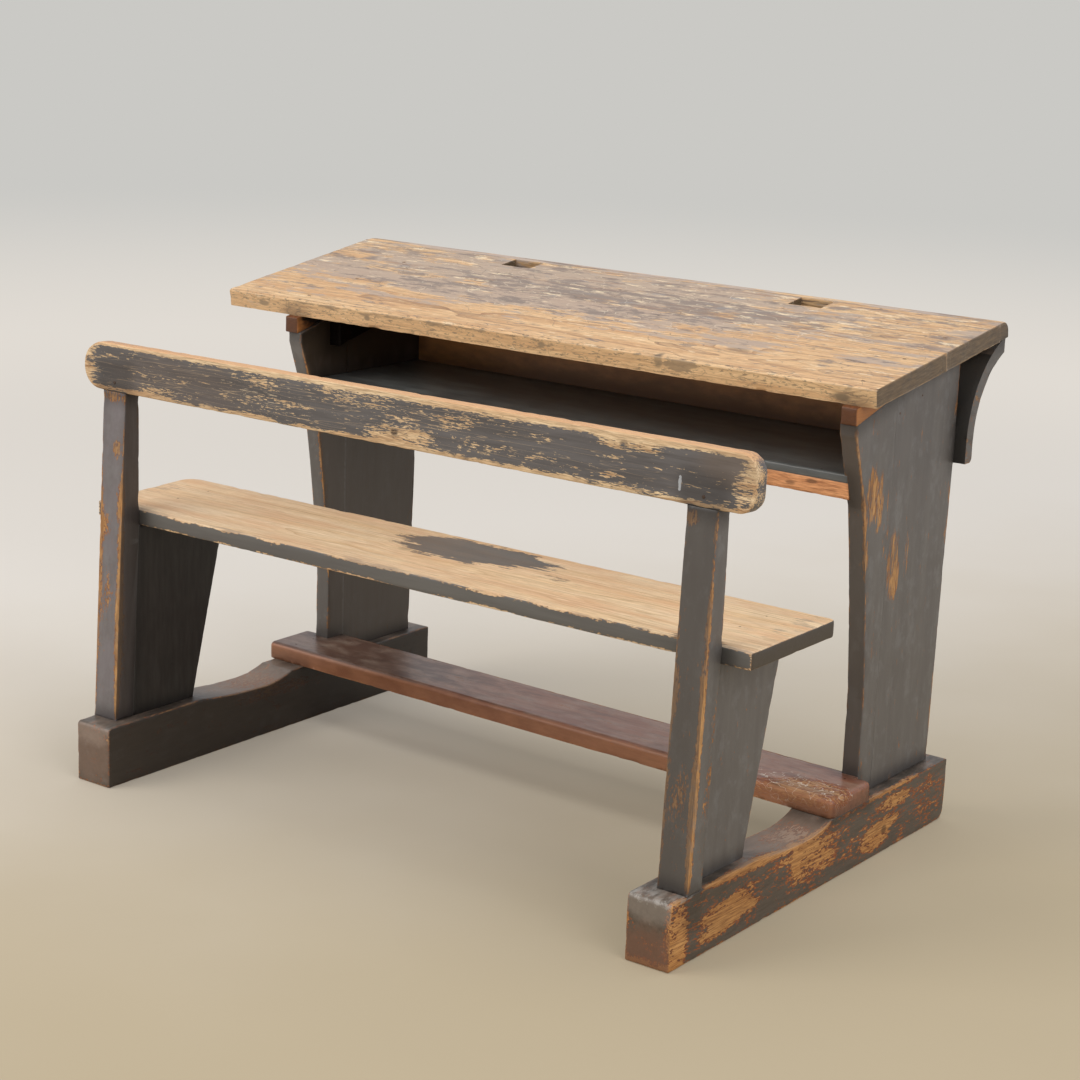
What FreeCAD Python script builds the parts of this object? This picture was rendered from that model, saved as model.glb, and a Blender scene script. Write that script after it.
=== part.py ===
import FreeCAD, Part
import os
import Sketcher

# A two-seat school bench and desk on a pair of floor runners, joined and nailed from pine boards.
# Construction frame: x = 0 midway between the runners, y = 0 at the runners' bench end,
# z = 0 on the floor.  Every body is then shifted so that the origin lies under the middle
# of the whole desk.  Lengths are millimetres.

doc = FreeCAD.newDocument("school_bench_desk")

SIZES = {
    # runners on the floor
    "runner_spread": 1100,          # over the runners' outer faces
    "runner_thickness": 70,
    "runner_height": 96,
    "left_runner_length": 774,      # the pair were not sawn alike
    "right_runner_length": 764,
    "runner_toe_radius": 18,        # lower corner at the desk end
    "runner_heel_radius": 7,        # upper corner at the bench end
    "dip_length": 140,              # foot-worn hollow, from the bench board to its lowest point
    "dip_rise": 70,                 # from the lowest point back to the full height
    "dip_depth": 11.5,
    "dip_long_bow": 2.6,
    "dip_short_bow": 3.4,
    # bench posts, raked back from the vertical
    "post_width": 48,
    "post_depth": 37,
    "post_top_depth": 29,
    "post_foot_set": 35.5,          # rear face of the foot, from the runner's end
    "post_rake": 0.0504,            # lean per unit of height
    "post_tenon_inset": 10,
    "post_tenon_length": 40,
    # bench boards that carry the seat
    "bench_board_thickness": 28,
    "bench_board_inset": 20,        # outer face, from the runner's outer face
    "bench_board_foot": 132.5,      # width at the runner
    "bench_board_head": 192,        # width under the seat
    "bench_tenon_shoulder": 8,
    "bench_tenon_length": 60,
    # seat
    "seat_height": 422,
    "seat_thickness": 24,
    "seat_width": 217,
    "seat_overhang_left": 56,       # at the far corner
    "seat_left_skew": 13,           # the left end is sawn out of square
    "seat_overhang_right": 44,
    "seat_left_radius": 26,
    "seat_right_radius": 12,
    # back rail
    "rail_bottom": 606,             # along the rake
    "rail_left_height": 72,         # the rail tapers a little
    "rail_right_height": 78,
    "rail_thickness": 27,
    "rail_overhang_left": 43,
    "rail_overhang_right": 51,
    "rail_left_radius": 35,
    "rail_right_radius": 26,
    "rail_tenon_length": 34,
    "rail_tenon_thickness": 13,
    "rail_tenon_set": 7,            # from the rear face
    # footrest
    "footrest_thickness": 28,
    "footrest_left_set": 444.5,     # near edge at the left end
    "footrest_right_set": 411,      # near edge at the right end
    "footrest_left_lap": 37,        # far edge past the desk ends' front edge, left end
    "footrest_right_lap": 8,
    "footrest_left_overhang": 11,   # past the left runner's outer face
    "footrest_left_ear": 18,        # reach past the left desk end's front edge
    "footrest_right_ear_gap": 6,    # the right end stops short of the desk end's front edge
    "footrest_corner_radius": 9,
    "footrest_arris_radius": 8,     # near upper edge, worn by feet
    "footrest_fit": 0.3,            # beside the left desk end
    # desk ends, each a narrow front board and a wide rear board
    "desk_end_thickness": 28,
    "desk_end_inset": 23.5,         # outer face, from the runner's outer face
    "desk_end_front_set": 523,      # front edge at the foot
    "desk_end_straight": 144,       # height of the upright part of the front edge
    "desk_end_knee_set": 486,       # front edge at the knee
    "desk_end_knee_drop": 125,      # knee, below the nose
    "desk_end_knee_bow": 3.5,
    "desk_end_nose_set": 448,       # foremost point, at the top
    "desk_end_nose_height": 655,
    "desk_end_nose_drop": 16,       # upright part of the nose
    "desk_end_seam_set": 563,       # joint between the two boards
    "desk_end_foot_set": 738,       # rear edge at the foot
    "desk_end_rear_set": 749.5,     # rear edge at the back panel
    "desk_tenon_shoulder": 12,
    "desk_tenon_length": 40,
    # packing wedges between the desk ends and the top
    "wedge_height": 25,
    "wedge_run": 194,
    "wedge_proud": 3,               # ahead of the nose of the desk end
    "wedge_tip": 15,                # blunt thin end, short of the meeting point
    "wedge_thickness": 26,
    "left_wedge_shift": 5,          # stands out past the left desk end
    # cleats nailed inside the desk ends, under the top
    "cleat_thickness": 22,
    "cleat_height": 46,
    "cleat_set": 70,                # behind the nose
    "cleat_length": 122,
    "cleat_nail_drop": 32,
    "cleat_nail_first": 123,        # behind the nose
    "cleat_nail_pitch": 65,
    # shelf of the book compartment
    "shelf_drop": 90,               # underside, below the noses of the desk ends
    "shelf_thickness": 12,
    "shelf_housing": 4.5,           # depth of the grooves in the desk ends
    "strip_height": 24,
    "strip_thickness": 20,
    "strip_front_set": 478,
    # curved back panel
    "panel_thickness": 22,
    "panel_drop": 8,                # lower edge, below the shelf's underside
    "panel_bend_rise": 25,          # where the cove begins, above the shelf's underside
    "panel_bend_radius": 156,
    "panel_bend_sweep": 70,         # turn of the cove, in degrees
    "panel_toe_radius": 7,
    "panel_end_inset": 4,           # from the runners' outer faces
    # sloping top of three boards
    "top_thickness": 28,
    "top_width": 402,
    "top_slope": 0.139,             # rise per unit of depth
    "top_set": 7,                   # front edge behind the noses of the desk ends
    "top_overhang_left": 132,       # past the runner's outer face, before the rear corner
    "top_overhang_right": 1,
    "top_left_skew": 20,            # the left end is sawn out of square
    "top_front_board_width": 203,
    "top_strip_width": 29,
    "top_front_radius": 4,
    "top_rear_radius": 17,
    "top_corner_radius": 25,
    # inkwell holes in the rear board, closed behind by the strip
    "inkwell_length": 58,
    "inkwell_width": 40,
    "inkwell_left": -320,           # middle of the left hole
    "inkwell_right": 239,
    # fasteners
    "nail_radius": 1.6,
    "nail_head_radius": 3.6,
    "nail_head_thickness": 1.4,
    "nail_grip": 32,                # depth in the board behind
    "nail_fit": 0.1,                # radial clearance of a nail in its hole
    "nail_short": 5,                # a nail ends this far inside the last board
    "footrest_nail_inset": 18,      # in front of the desk ends
    "footrest_nail_pitch": 43,
    "peg_radius": 6,
    "peg_length": 64,
    "peg_fit": 0.1,
    "peg_drop": 30,                 # below the runner's top
    "peg_first": 105,
    "peg_pitch": 60,
    "rail_pin_radius": 3,
    "rail_pin_rise": 14,            # above the rail's lower edge
    "rail_pin_past": 3,             # past the tenon, into the rail's front
    "joint_fit": 0.2,               # slack at the end of a tenon
    "overcut": 1,                   # a cut runs this far past the wood it opens
}

sheet = doc.addObject("Spreadsheet::Sheet", "Params")
for row, (alias, size) in enumerate(SIZES.items(), start=1):
    sheet.set("A%d" % row, alias)
    sheet.set("B%d" % row, str(size))
    sheet.setAlias("B%d" % row, alias)
doc.recompute()


def cell(alias):
    """The expression that reads one driving size."""
    return "Params." + alias


def value(expression):
    """The number that an expression gives now."""
    result = sheet.evalExpression(expression.replace("Params.", ""))
    return float(getattr(result, "Value", result))


def total(*terms):
    """The sum of several expressions."""
    return "(" + " + ".join(terms) + ")"


def less(first, second):
    """The difference of two expressions."""
    return "(%s - %s)" % (first, second)


# Lines that several boards share, as expressions.
half_spread = "(Params.runner_spread / 2)"
rake_cos = "(1 / sqrt(1 + Params.post_rake ^ 2))"
rake_sin = "(Params.post_rake / sqrt(1 + Params.post_rake ^ 2))"
slope_cos = "(1 / sqrt(1 + Params.top_slope ^ 2))"
desk_slope = "(Params.top_slope + Params.wedge_height / Params.wedge_run)"
post_line = "(Params.post_foot_set - Params.runner_height * Params.post_rake)"
top_front = "(Params.desk_end_nose_set + Params.top_set)"
overall_depth = "(%s + Params.top_width * %s)" % (top_front, slope_cos)
shelf_underside = less(cell("desk_end_nose_height"), cell("shelf_drop"))
panel_bottom = less(shelf_underside, cell("panel_drop"))
frame_x = "((Params.top_overhang_left - Params.rail_overhang_right) / 2)"


def post_front(height):
    """Front face of the bench posts, at a height up to the seat."""
    return "(%s + (%s) * Params.post_rake + Params.post_depth / %s)" % (post_line, height, rake_cos)


def top_underside(depth):
    """Height of the underside of the sloping top."""
    run = "((%s) - Params.desk_end_nose_set)" % depth
    return "(Params.desk_end_nose_height + Params.wedge_height + %s * Params.top_slope)" % run


def desk_end_top(depth):
    """Height of the sawn slope of a desk end, in front of the point where it meets the top."""
    run = "((%s) - Params.desk_end_nose_set)" % depth
    return "(Params.desk_end_nose_height + %s * %s)" % (run, desk_slope)


def bow_radius(start, end, bow):
    """Radius of the arc between two points that bulges from its chord by the bow."""
    chord = "((%s - %s) ^ 2 + (%s - %s) ^ 2)" % (end[0], start[0], end[1], start[1])
    return "(%s / (8 * %s) + %s / 2)" % (chord, bow, bow)


def outer_to_inner(side, inset, thickness):
    """Low and high x of a board set in from a runner's outer face; side is -1 left, +1 right."""
    outer = less(half_spread, inset)
    inner = less(outer, thickness)
    if side > 0:
        return inner, outer
    return "(-%s)" % outer, "(-%s)" % inner


def new_body(name):
    """A body that carries the shared shift to the middle of the desk."""
    body = doc.addObject("PartDesign::Body", name)
    body.Label = name
    body.setExpression("Placement.Base.x", frame_x)
    body.setExpression("Placement.Base.y", "-%s / 2" % overall_depth)
    return body


def new_sketch(body, plane, offset, tilted=None):
    """A sketch on one of the body's own planes.

    tilted = (shift along u, shift along v, axis, slope) turns it by the angle of a slope."""
    sketch = body.newObject("Sketcher::SketchObject", "sketch")
    role = [item for item in body.Origin.OriginFeatures if item.Role == plane + "_Plane"]
    sketch.AttachmentSupport = [(role[0], "")]
    sketch.MapMode = "FlatFace"
    if tilted:
        shift_u, shift_v, axis, slope = tilted
        turn = FreeCAD.Rotation(FreeCAD.Vector(*axis), 5)
        sketch.AttachmentOffset = FreeCAD.Placement(FreeCAD.Vector(), turn)
        sketch.setExpression("AttachmentOffset.Base.x", shift_u)
        sketch.setExpression("AttachmentOffset.Base.y", shift_v)
        sketch.setExpression("AttachmentOffset.Rotation.Angle", "atan(%s)" % slope)
    sketch.setExpression("AttachmentOffset.Base.z", offset)
    return sketch


def pin_point(sketch, geometry, position, point):
    """Hold one end of a line or arc at a pair of expressions."""
    for kind, expression in zip(("DistanceX", "DistanceY"), point):
        number = sketch.addConstraint(
            Sketcher.Constraint(kind, -1, 1, geometry, position, value(expression)))
        sketch.setExpression("Constraints[%d]" % number, expression)


def outline(body, plane, offset, runs, tilted=None):
    """A closed outline.  Each run is (u, v) for a straight line to the next point, or
    (u, v, radius, turn) for an arc that turns left (+1) or right (-1)."""
    sketch = new_sketch(body, plane, offset, tilted)
    ends = []
    for index, run in enumerate(runs):
        start = FreeCAD.Vector(value(run[0]), value(run[1]), 0)
        following = runs[(index + 1) % len(runs)]
        end = FreeCAD.Vector(value(following[0]), value(following[1]), 0)
        if len(run) == 2:
            geometry = sketch.addGeometry(Part.LineSegment(start, end), False)
            ends.append((geometry, 1, 2))
            continue
        radius, turn = value(run[2]), run[3]
        chord = end - start
        normal = FreeCAD.Vector(-chord.y, chord.x, 0).normalize() * turn
        reach = max(radius ** 2 - (chord.Length / 2) ** 2, 0) ** 0.5
        centre = (start + end) * 0.5 + normal * reach
        first, last = (start, end) if turn > 0 else (end, start)
        middle = centre - normal * radius
        arc = Part.Arc(first, middle, last)
        geometry = sketch.addGeometry(arc, False)
        ends.append((geometry, 1, 2) if turn > 0 else (geometry, 2, 1))
        number = sketch.addConstraint(Sketcher.Constraint("Radius", geometry, radius))
        sketch.setExpression("Constraints[%d]" % number, run[2])
    for index, run in enumerate(runs):
        geometry, start_end, far_end = ends[index]
        pin_point(sketch, geometry, start_end, run[:2])
        following, next_end, _ = ends[(index + 1) % len(runs)]
        sketch.addConstraint(
            Sketcher.Constraint("Coincident", geometry, far_end, following, next_end))
    return sketch


def circles(body, plane, offset, centres, radius, tilted=None):
    """A sketch of equal circles at pairs of expressions."""
    sketch = new_sketch(body, plane, offset, tilted)
    for centre in centres:
        middle = FreeCAD.Vector(value(centre[0]), value(centre[1]), 0)
        ring = Part.Circle(middle, FreeCAD.Vector(0, 0, 1), value(radius))
        geometry = sketch.addGeometry(ring, False)
        number = sketch.addConstraint(Sketcher.Constraint("Radius", geometry, value(radius)))
        sketch.setExpression("Constraints[%d]" % number, radius)
        pin_point(sketch, geometry, 3, centre)
    return sketch


def pad(body, sketch, length, backwards=False):
    """Material along the sketch's normal."""
    feature = body.newObject("PartDesign::Pad", "pad")
    feature.Profile = sketch
    feature.setExpression("Length", length)
    feature.Reversed = backwards
    doc.recompute()
    return feature


def pocket(body, sketch, length, forwards=False):
    """A cut against the sketch's normal, or along it; it has to remove something."""
    before = body.Shape.Volume
    feature = body.newObject("PartDesign::Pocket", "pocket")
    feature.Profile = sketch
    feature.setExpression("Length", length)
    feature.Reversed = forwards
    doc.recompute()
    if body.Shape.Volume >= before - 1:
        raise RuntimeError("%s: a cut removed nothing" % body.Label)
    return feature


def box_cut(body, plane, offset, low, high, length, forwards=True, tilted=None):
    """A rectangular pocket between two corners of the sketch plane."""
    corners = [(low[0], low[1]), (high[0], low[1]), (high[0], high[1]), (low[0], high[1])]
    return pocket(body, outline(body, plane, offset, corners, tilted), length, forwards)


def drive(board, plane, surface, centres, depth, forwards, tilted=None):
    """Holes for nails driven through a board: shanks right through, heads let in flush."""
    shank = total(cell("nail_radius"), cell("nail_fit"))
    head = total(cell("nail_head_radius"), cell("nail_fit"))
    holes = circles(board, plane, surface, centres, shank, tilted)
    pocket(board, holes, depth, forwards)
    recess = circles(board, plane, surface, centres, head, tilted)
    pocket(board, recess, cell("nail_head_thickness"), forwards)


def nails(name, plane, surface, centres, length, forwards, tilted=None):
    """A group of equal nails whose heads lie flush with a surface."""
    body = new_body(name)
    body.AllowCompound = True
    shanks = circles(body, plane, surface, centres, cell("nail_radius"), tilted)
    pad(body, shanks, length, not forwards)
    heads = circles(body, plane, surface, centres, cell("nail_head_radius"), tilted)
    pad(body, heads, cell("nail_head_thickness"), not forwards)
    return body


# Sketch turns that follow the raked posts and the sloping top.
UPRIGHT = (post_line, "0", (0, 0, -1), cell("post_rake"))
SLOPING = (top_front, top_underside(top_front), (0, 0, 1), cell("top_slope"))


def on_top(offset):
    """Plane of the sloping top, at an offset above its underside, for sketches in x and slope."""
    rise = "(%s) / sqrt(1 + Params.top_slope ^ 2)" % offset
    back = "(%s) * Params.top_slope / sqrt(1 + Params.top_slope ^ 2)" % offset
    height = total(top_underside(top_front), rise)
    return height, ("0", less(top_front, back), (1, 0, 0), cell("top_slope"))


# ---------------------------------------------------------------- runners and what stands in them
post_foot_front = post_front(cell("runner_height"))
bench_board_toe = total(post_foot_front, cell("bench_board_foot"))
bench_tenon_rear = total(post_foot_front, cell("bench_tenon_shoulder"))
bench_tenon_front = less(bench_board_toe, cell("bench_tenon_shoulder"))
bench_tenon_bottom = less(cell("runner_height"), cell("bench_tenon_length"))
desk_tenon_front = total(cell("desk_end_front_set"), cell("desk_tenon_shoulder"))
desk_tenon_rear = less(cell("desk_end_foot_set"), cell("desk_tenon_shoulder"))
desk_tenon_bottom = less(cell("runner_height"), cell("desk_tenon_length"))
post_tenon_bottom = less(cell("runner_height"), cell("post_tenon_length"))
post_tenon_rear = total(cell("post_foot_set"), cell("post_tenon_inset"))
post_tenon_front = less(post_foot_front, cell("post_tenon_inset"))
PEG_PLACES = [
    (cell("peg_first"), less(cell("runner_height"), cell("peg_drop"))),
    (total(cell("peg_first"), cell("peg_pitch")), less(cell("runner_height"), cell("peg_drop"))),
]


def mortise(body, side, inset, thickness, rear, front, bottom):
    """A slot in a runner's top for a tongue of the given x range and y range."""
    low, _ = outer_to_inner(side, inset, thickness)
    floor = less(bottom, cell("joint_fit"))
    box_cut(body, "YZ", low, (rear, floor), (front, total(cell("runner_height"), cell("overcut"))), thickness)


def runner(name, side):
    """A heavy floor runner: hollowed on top by feet, slotted for post, bench board and desk end."""
    body = new_body(name)
    low, _ = outer_to_inner(side, "0", cell("runner_thickness"))
    top, toe, heel = cell("runner_height"), cell("runner_toe_radius"), cell("runner_heel_radius")
    far_end = cell("left_runner_length") if side < 0 else cell("right_runner_length")
    dip_start = bench_board_toe
    dip_low = total(dip_start, cell("dip_length"))
    dip_end = total(dip_low, cell("dip_rise"))
    dip_bottom = less(top, cell("dip_depth"))
    long_bow = bow_radius((dip_start, top), (dip_low, dip_bottom), cell("dip_long_bow"))
    short_bow = bow_radius((dip_low, dip_bottom), (dip_end, top), cell("dip_short_bow"))
    runs = [
        ("0", "0"),
        (less(far_end, toe), "0", toe, 1),
        (far_end, toe),
        (far_end, top),
        (dip_end, top, short_bow, -1),
        (dip_low, dip_bottom, long_bow, -1),
        (dip_start, top),
        (heel, top, heel, 1),
        ("0", less(top, heel)),
    ]
    pad(body, outline(body, "YZ", low, runs), cell("runner_thickness"))
    mortise(body, side, cell("bench_board_inset"), cell("bench_board_thickness"),
            bench_tenon_rear, bench_tenon_front, bench_tenon_bottom)
    mortise(body, side, cell("desk_end_inset"), cell("desk_end_thickness"),
            desk_tenon_front, desk_tenon_rear, desk_tenon_bottom)
    mortise(body, side, cell("post_tenon_inset"),
            "(Params.post_width - 2 * Params.post_tenon_inset)",
            post_tenon_rear, post_tenon_front, post_tenon_bottom)
    inner = "(%d * (%s - Params.runner_thickness))" % (side, half_spread)
    rings = circles(body, "YZ", inner, PEG_PLACES, total(cell("peg_radius"), cell("peg_fit")))
    pocket(body, rings, total(cell("peg_length"), cell("joint_fit")), side > 0)
    nail_runner_top(body, side)
    return body


def bench_post(name, side):
    """A raked post behind the bench board, tapered above the seat, tenoned into the rail."""
    body = new_body(name)
    low, _ = outer_to_inner(side, "0", cell("post_width"))
    foot = "(Params.runner_height / %s)" % rake_cos
    foot_front = "((Params.runner_height + Params.post_depth * %s) / %s)" % (rake_sin, rake_cos)
    seat_front = "((Params.seat_height + Params.post_depth * %s) / %s)" % (rake_sin, rake_cos)
    shoulder, tenon_rear = cell("rail_bottom"), cell("rail_tenon_set")
    tenon_front = total(tenon_rear, cell("rail_tenon_thickness"))
    tenon_top = total(shoulder, cell("rail_tenon_length"))
    runs = [
        ("0", foot),
        (cell("post_depth"), foot_front),
        (cell("post_depth"), seat_front),
        (cell("post_top_depth"), shoulder),
        (tenon_front, shoulder),
        (tenon_front, tenon_top),
        (tenon_rear, tenon_top),
        (tenon_rear, shoulder),
        ("0", shoulder),
    ]
    pad(body, outline(body, "YZ", low, runs, UPRIGHT), cell("post_width"))
    inset = cell("post_tenon_inset")
    tenon_low, _ = outer_to_inner(side, inset, "(Params.post_width - 2 * Params.post_tenon_inset)")
    stub = [
        (post_tenon_rear, post_tenon_bottom),
        (post_tenon_front, post_tenon_bottom),
        (post_tenon_front, total(cell("runner_height"), cell("overcut"))),
        (post_tenon_rear, total(cell("runner_height"), cell("overcut"))),
    ]
    pad(body, outline(body, "YZ", tenon_low, stub), "(Params.post_width - 2 * Params.post_tenon_inset)")
    rail_pin_hole(body)
    return body


def bench_board(name, side):
    """A board that widens upwards to carry the seat; its foot is pegged into the runner."""
    body = new_body(name)
    low, _ = outer_to_inner(side, cell("bench_board_inset"), cell("bench_board_thickness"))
    foot, head = cell("runner_height"), less(cell("seat_height"), cell("seat_thickness"))
    runs = [
        (bench_tenon_rear, bench_tenon_bottom),
        (bench_tenon_front, bench_tenon_bottom),
        (bench_tenon_front, foot),
        (bench_board_toe, foot),
        (total(post_front(head), cell("bench_board_head")), head),
        (post_front(head), head),
        (post_front(foot), foot),
        (bench_tenon_rear, foot),
    ]
    pad(body, outline(body, "YZ", low, runs), cell("bench_board_thickness"))
    rings = circles(body, "YZ", low, PEG_PLACES, total(cell("peg_radius"), cell("peg_fit")))
    pocket(body, rings, cell("bench_board_thickness"), True)
    nail_bench_board(body, side)
    return body


# ---------------------------------------------------------------- seat, rail and footrest
seat_rear = post_front(cell("seat_height"))
seat_left = "(-(%s + Params.seat_overhang_left))" % half_spread
seat_right = total(half_spread, cell("seat_overhang_right"))


def nail_column(side, inset, thickness):
    """x of nails driven down the middle of an upright board."""
    middle = "(%s - %s - %s / 2)" % (half_spread, inset, thickness)
    return middle if side > 0 else "(-%s)" % middle


def seat_nail_places(side):
    """Three nails through the seat into each bench board."""
    column = nail_column(side, cell("bench_board_inset"), cell("bench_board_thickness"))
    return [(column, "(%s + Params.bench_board_head * %s)" % (seat_rear, share))
            for share in ("0.15", "0.5", "0.85")]


def nail_bench_board(body, side):
    """Blind holes in the upper edge of a bench board."""
    head = less(cell("seat_height"), cell("seat_thickness"))
    radius = total(cell("nail_radius"), cell("nail_fit"))
    holes = circles(body, "XY", head, seat_nail_places(side), radius)
    pocket(body, holes, total(cell("nail_grip"), cell("joint_fit")))


def seat_plank():
    """The seat: one plank, with its far corners rounded by use."""
    body = new_body("seat_plank")
    left, right = cell("seat_left_radius"), cell("seat_right_radius")
    front = total(seat_rear, cell("seat_width"))
    runs = [
        (total(seat_left, cell("seat_left_skew")), seat_rear),
        (seat_right, seat_rear),
        (seat_right, less(front, right), right, 1),
        (less(seat_right, right), front),
        (total(seat_left, left), front, left, 1),
        (seat_left, less(front, left)),
    ]
    underside = less(cell("seat_height"), cell("seat_thickness"))
    pad(body, outline(body, "XY", underside, runs), cell("seat_thickness"))
    places = seat_nail_places(-1) + seat_nail_places(1)
    drive(body, "XY", cell("seat_height"), places, cell("seat_thickness"), False)
    return body


def rail_pin_places():
    """One pin through the rail and the tenon of each post."""
    column = "(%s - Params.post_width / 2)" % half_spread
    height = "((Params.rail_bottom + Params.rail_pin_rise) * %s)" % rake_cos
    return [("(-%s)" % column, height), (column, height)]


rail_pin_start = "(%s + Params.rail_bottom * %s)" % (post_line, rake_sin)
rail_pin_length = "(Params.rail_tenon_set + Params.rail_tenon_thickness + Params.rail_pin_past)"


def rail_pin_hole(body):
    """The pin's hole; the pins lie level, along y."""
    side = 1 if body.Label.startswith("right") else -1
    places = [rail_pin_places()[0 if side < 0 else 1]] if "post" in body.Label else rail_pin_places()
    radius = total(cell("rail_pin_radius"), cell("peg_fit"))
    rings = circles(body, "XZ", "(-%s)" % rail_pin_start, places, radius)
    pocket(body, rings, total(rail_pin_length, cell("joint_fit")), False)


def backrest_rail():
    """The back rail, let down over the posts' tenons; both ends are rounded."""
    body = new_body("backrest_rail")
    left = "(-(%s + Params.rail_overhang_left))" % half_spread
    right = total(half_spread, cell("rail_overhang_right"))
    low = cell("rail_bottom")
    high_left = total(low, cell("rail_left_height"))
    high_right = total(low, cell("rail_right_height"))
    round_left, round_right = cell("rail_left_radius"), cell("rail_right_radius")
    runs = [
        (total(left, round_left), low),
        (less(right, round_right), low, round_right, 1),
        (right, total(low, round_right)),
        (right, less(high_right, round_right), round_right, 1),
        (less(right, round_right), high_right),
        (total(left, round_left), high_left, round_left, 1),
        (left, less(high_left, round_left)),
        (left, total(low, round_left), round_left, 1),
    ]
    leaning = ("0", "0", (-1, 0, 0), cell("post_rake"))
    face = outline(body, "XZ", "(-%s)" % post_line, runs, leaning)
    pad(body, face, cell("rail_thickness"), True)
    rear = cell("rail_tenon_set")
    front = total(rear, cell("rail_tenon_thickness"))
    low_v = less(cell("rail_bottom"), cell("overcut"))
    high_v = total(cell("rail_bottom"), cell("rail_tenon_length"), cell("joint_fit"))
    for side in (-1, 1):
        start, _ = outer_to_inner(side, "0", cell("post_width"))
        box_cut(body, "YZ", start, (rear, low_v), (front, high_v), cell("post_width"), True, UPRIGHT)
    rail_pin_hole(body)
    return body


def footrest_nail_places(side):
    """Two nails through each end of the footrest into the runner."""
    column = "(%d * (%s - Params.runner_thickness / 2))" % (side, half_spread)
    last = less(cell("desk_end_front_set"), cell("footrest_nail_inset"))
    return [(column, less(last, cell("footrest_nail_pitch"))), (column, last)]


def nail_runner_top(body, side):
    """Blind holes in a runner's top for the footrest nails."""
    radius = total(cell("nail_radius"), cell("nail_fit"))
    holes = circles(body, "XY", cell("runner_height"), footrest_nail_places(side), radius)
    pocket(body, holes, total(cell("nail_grip"), cell("joint_fit")))


def footrest_board():
    """The footrest lies on the runners, out of square, and is notched round the desk ends."""
    body = new_body("footrest_board")
    outer = less(half_spread, cell("desk_end_inset"))
    inner = less(outer, cell("desk_end_thickness"))
    stop = cell("desk_end_front_set")
    left_end = "(-(%s + Params.footrest_left_overhang))" % half_spread
    left_ear = total(stop, cell("footrest_left_ear"))
    beside = "(-(%s + Params.footrest_fit))" % outer
    round_off = cell("footrest_corner_radius")
    left_near, right_near = cell("footrest_left_set"), cell("footrest_right_set")
    right_ear = less(stop, cell("footrest_right_ear_gap"))
    runs = [
        (total(left_end, round_off), left_near),
        (less(half_spread, round_off), right_near, round_off, 1),
        (half_spread, total(right_near, round_off)),
        (half_spread, right_ear),
        (outer, right_ear),
        (outer, stop),
        (inner, stop),
        (inner, total(stop, cell("footrest_right_lap"))),
        ("(-%s)" % inner, total(stop, cell("footrest_left_lap"))),
        ("(-%s)" % inner, stop),
        (beside, stop),
        (beside, left_ear),
        (total(left_end, round_off), left_ear, round_off, 1),
        (left_end, less(left_ear, round_off)),
        (left_end, total(left_near, round_off), round_off, 1),
    ]
    board = pad(body, outline(body, "XY", cell("runner_height"), runs), cell("footrest_thickness"))
    surface = total(cell("runner_height"), cell("footrest_thickness"))
    upper = [(edge.Length, "Edge%d" % number)
             for number, edge in enumerate(board.Shape.Edges, start=1)
             if edge.BoundBox.ZMin > value(surface) - 0.1 and edge.BoundBox.YMax < value(stop) - 10]
    worn = body.newObject("PartDesign::Fillet", "worn_arris")
    worn.Base = (board, [max(upper)[1]])
    worn.setExpression("Radius", cell("footrest_arris_radius"))
    doc.recompute()
    places = footrest_nail_places(-1) + footrest_nail_places(1)
    drive(body, "XY", surface, places, cell("footrest_thickness"), False)
    return body


# ---------------------------------------------------------------- desk ends
meeting = "(Params.desk_end_nose_set + Params.wedge_run)"
shelf_top = total(shelf_underside, cell("shelf_thickness"))
strip_bottom = less(shelf_underside, cell("strip_height"))
strip_rear = total(cell("strip_front_set"), cell("strip_thickness"))
shelf_end = "(%s - Params.desk_end_inset - Params.desk_end_thickness + Params.shelf_housing)" % half_spread


def top_nail_places(side):
    """Nails down through the top into a desk end, as x and distance up the slope."""
    column = nail_column(side, cell("desk_end_inset"), cell("desk_end_thickness"))
    front_board = cell("top_front_board_width")
    return {
        "desk_end_front": (column, "(%s * 0.15)" % front_board),
        "desk_end_rear": (column, "(%s * 0.74)" % front_board),
        "rear_board": (column, "(%s * 1.34)" % front_board),
    }


def top_nail_holes(body, places):
    """Holes for the top's nails in what lies under the top."""
    plane_height, tilt = on_top("0")
    radius = total(cell("nail_radius"), cell("nail_fit"))
    holes = circles(body, "XY", plane_height, places, radius, tilt)
    pocket(body, holes, total(cell("nail_grip"), cell("joint_fit")))


def cleat_nail_places():
    """Two nails through a desk end into its cleat, on a line below the sawn slope."""
    first = "(Params.desk_end_nose_set + Params.cleat_nail_first)"
    second = "(%s + Params.cleat_nail_pitch)" % first
    return [(place, less(desk_end_top(place), cell("cleat_nail_drop"))) for place in (first, second)]


def shelf_housing(body, side, rear):
    """The groove for the shelf's end and the notch for the strip below it."""
    inner = less(shelf_end, cell("shelf_housing"))
    low = inner if side > 0 else "(-%s)" % shelf_end
    far = (rear, shelf_top)
    box_cut(body, "YZ", low, (less(cell("desk_end_nose_set"), cell("overcut")), shelf_underside), far,
            cell("shelf_housing"))
    if body.Label.endswith("front"):
        box_cut(body, "YZ", low, (less(cell("desk_end_nose_set"), cell("overcut")), strip_bottom),
                (strip_rear, shelf_underside), cell("shelf_housing"))


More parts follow.
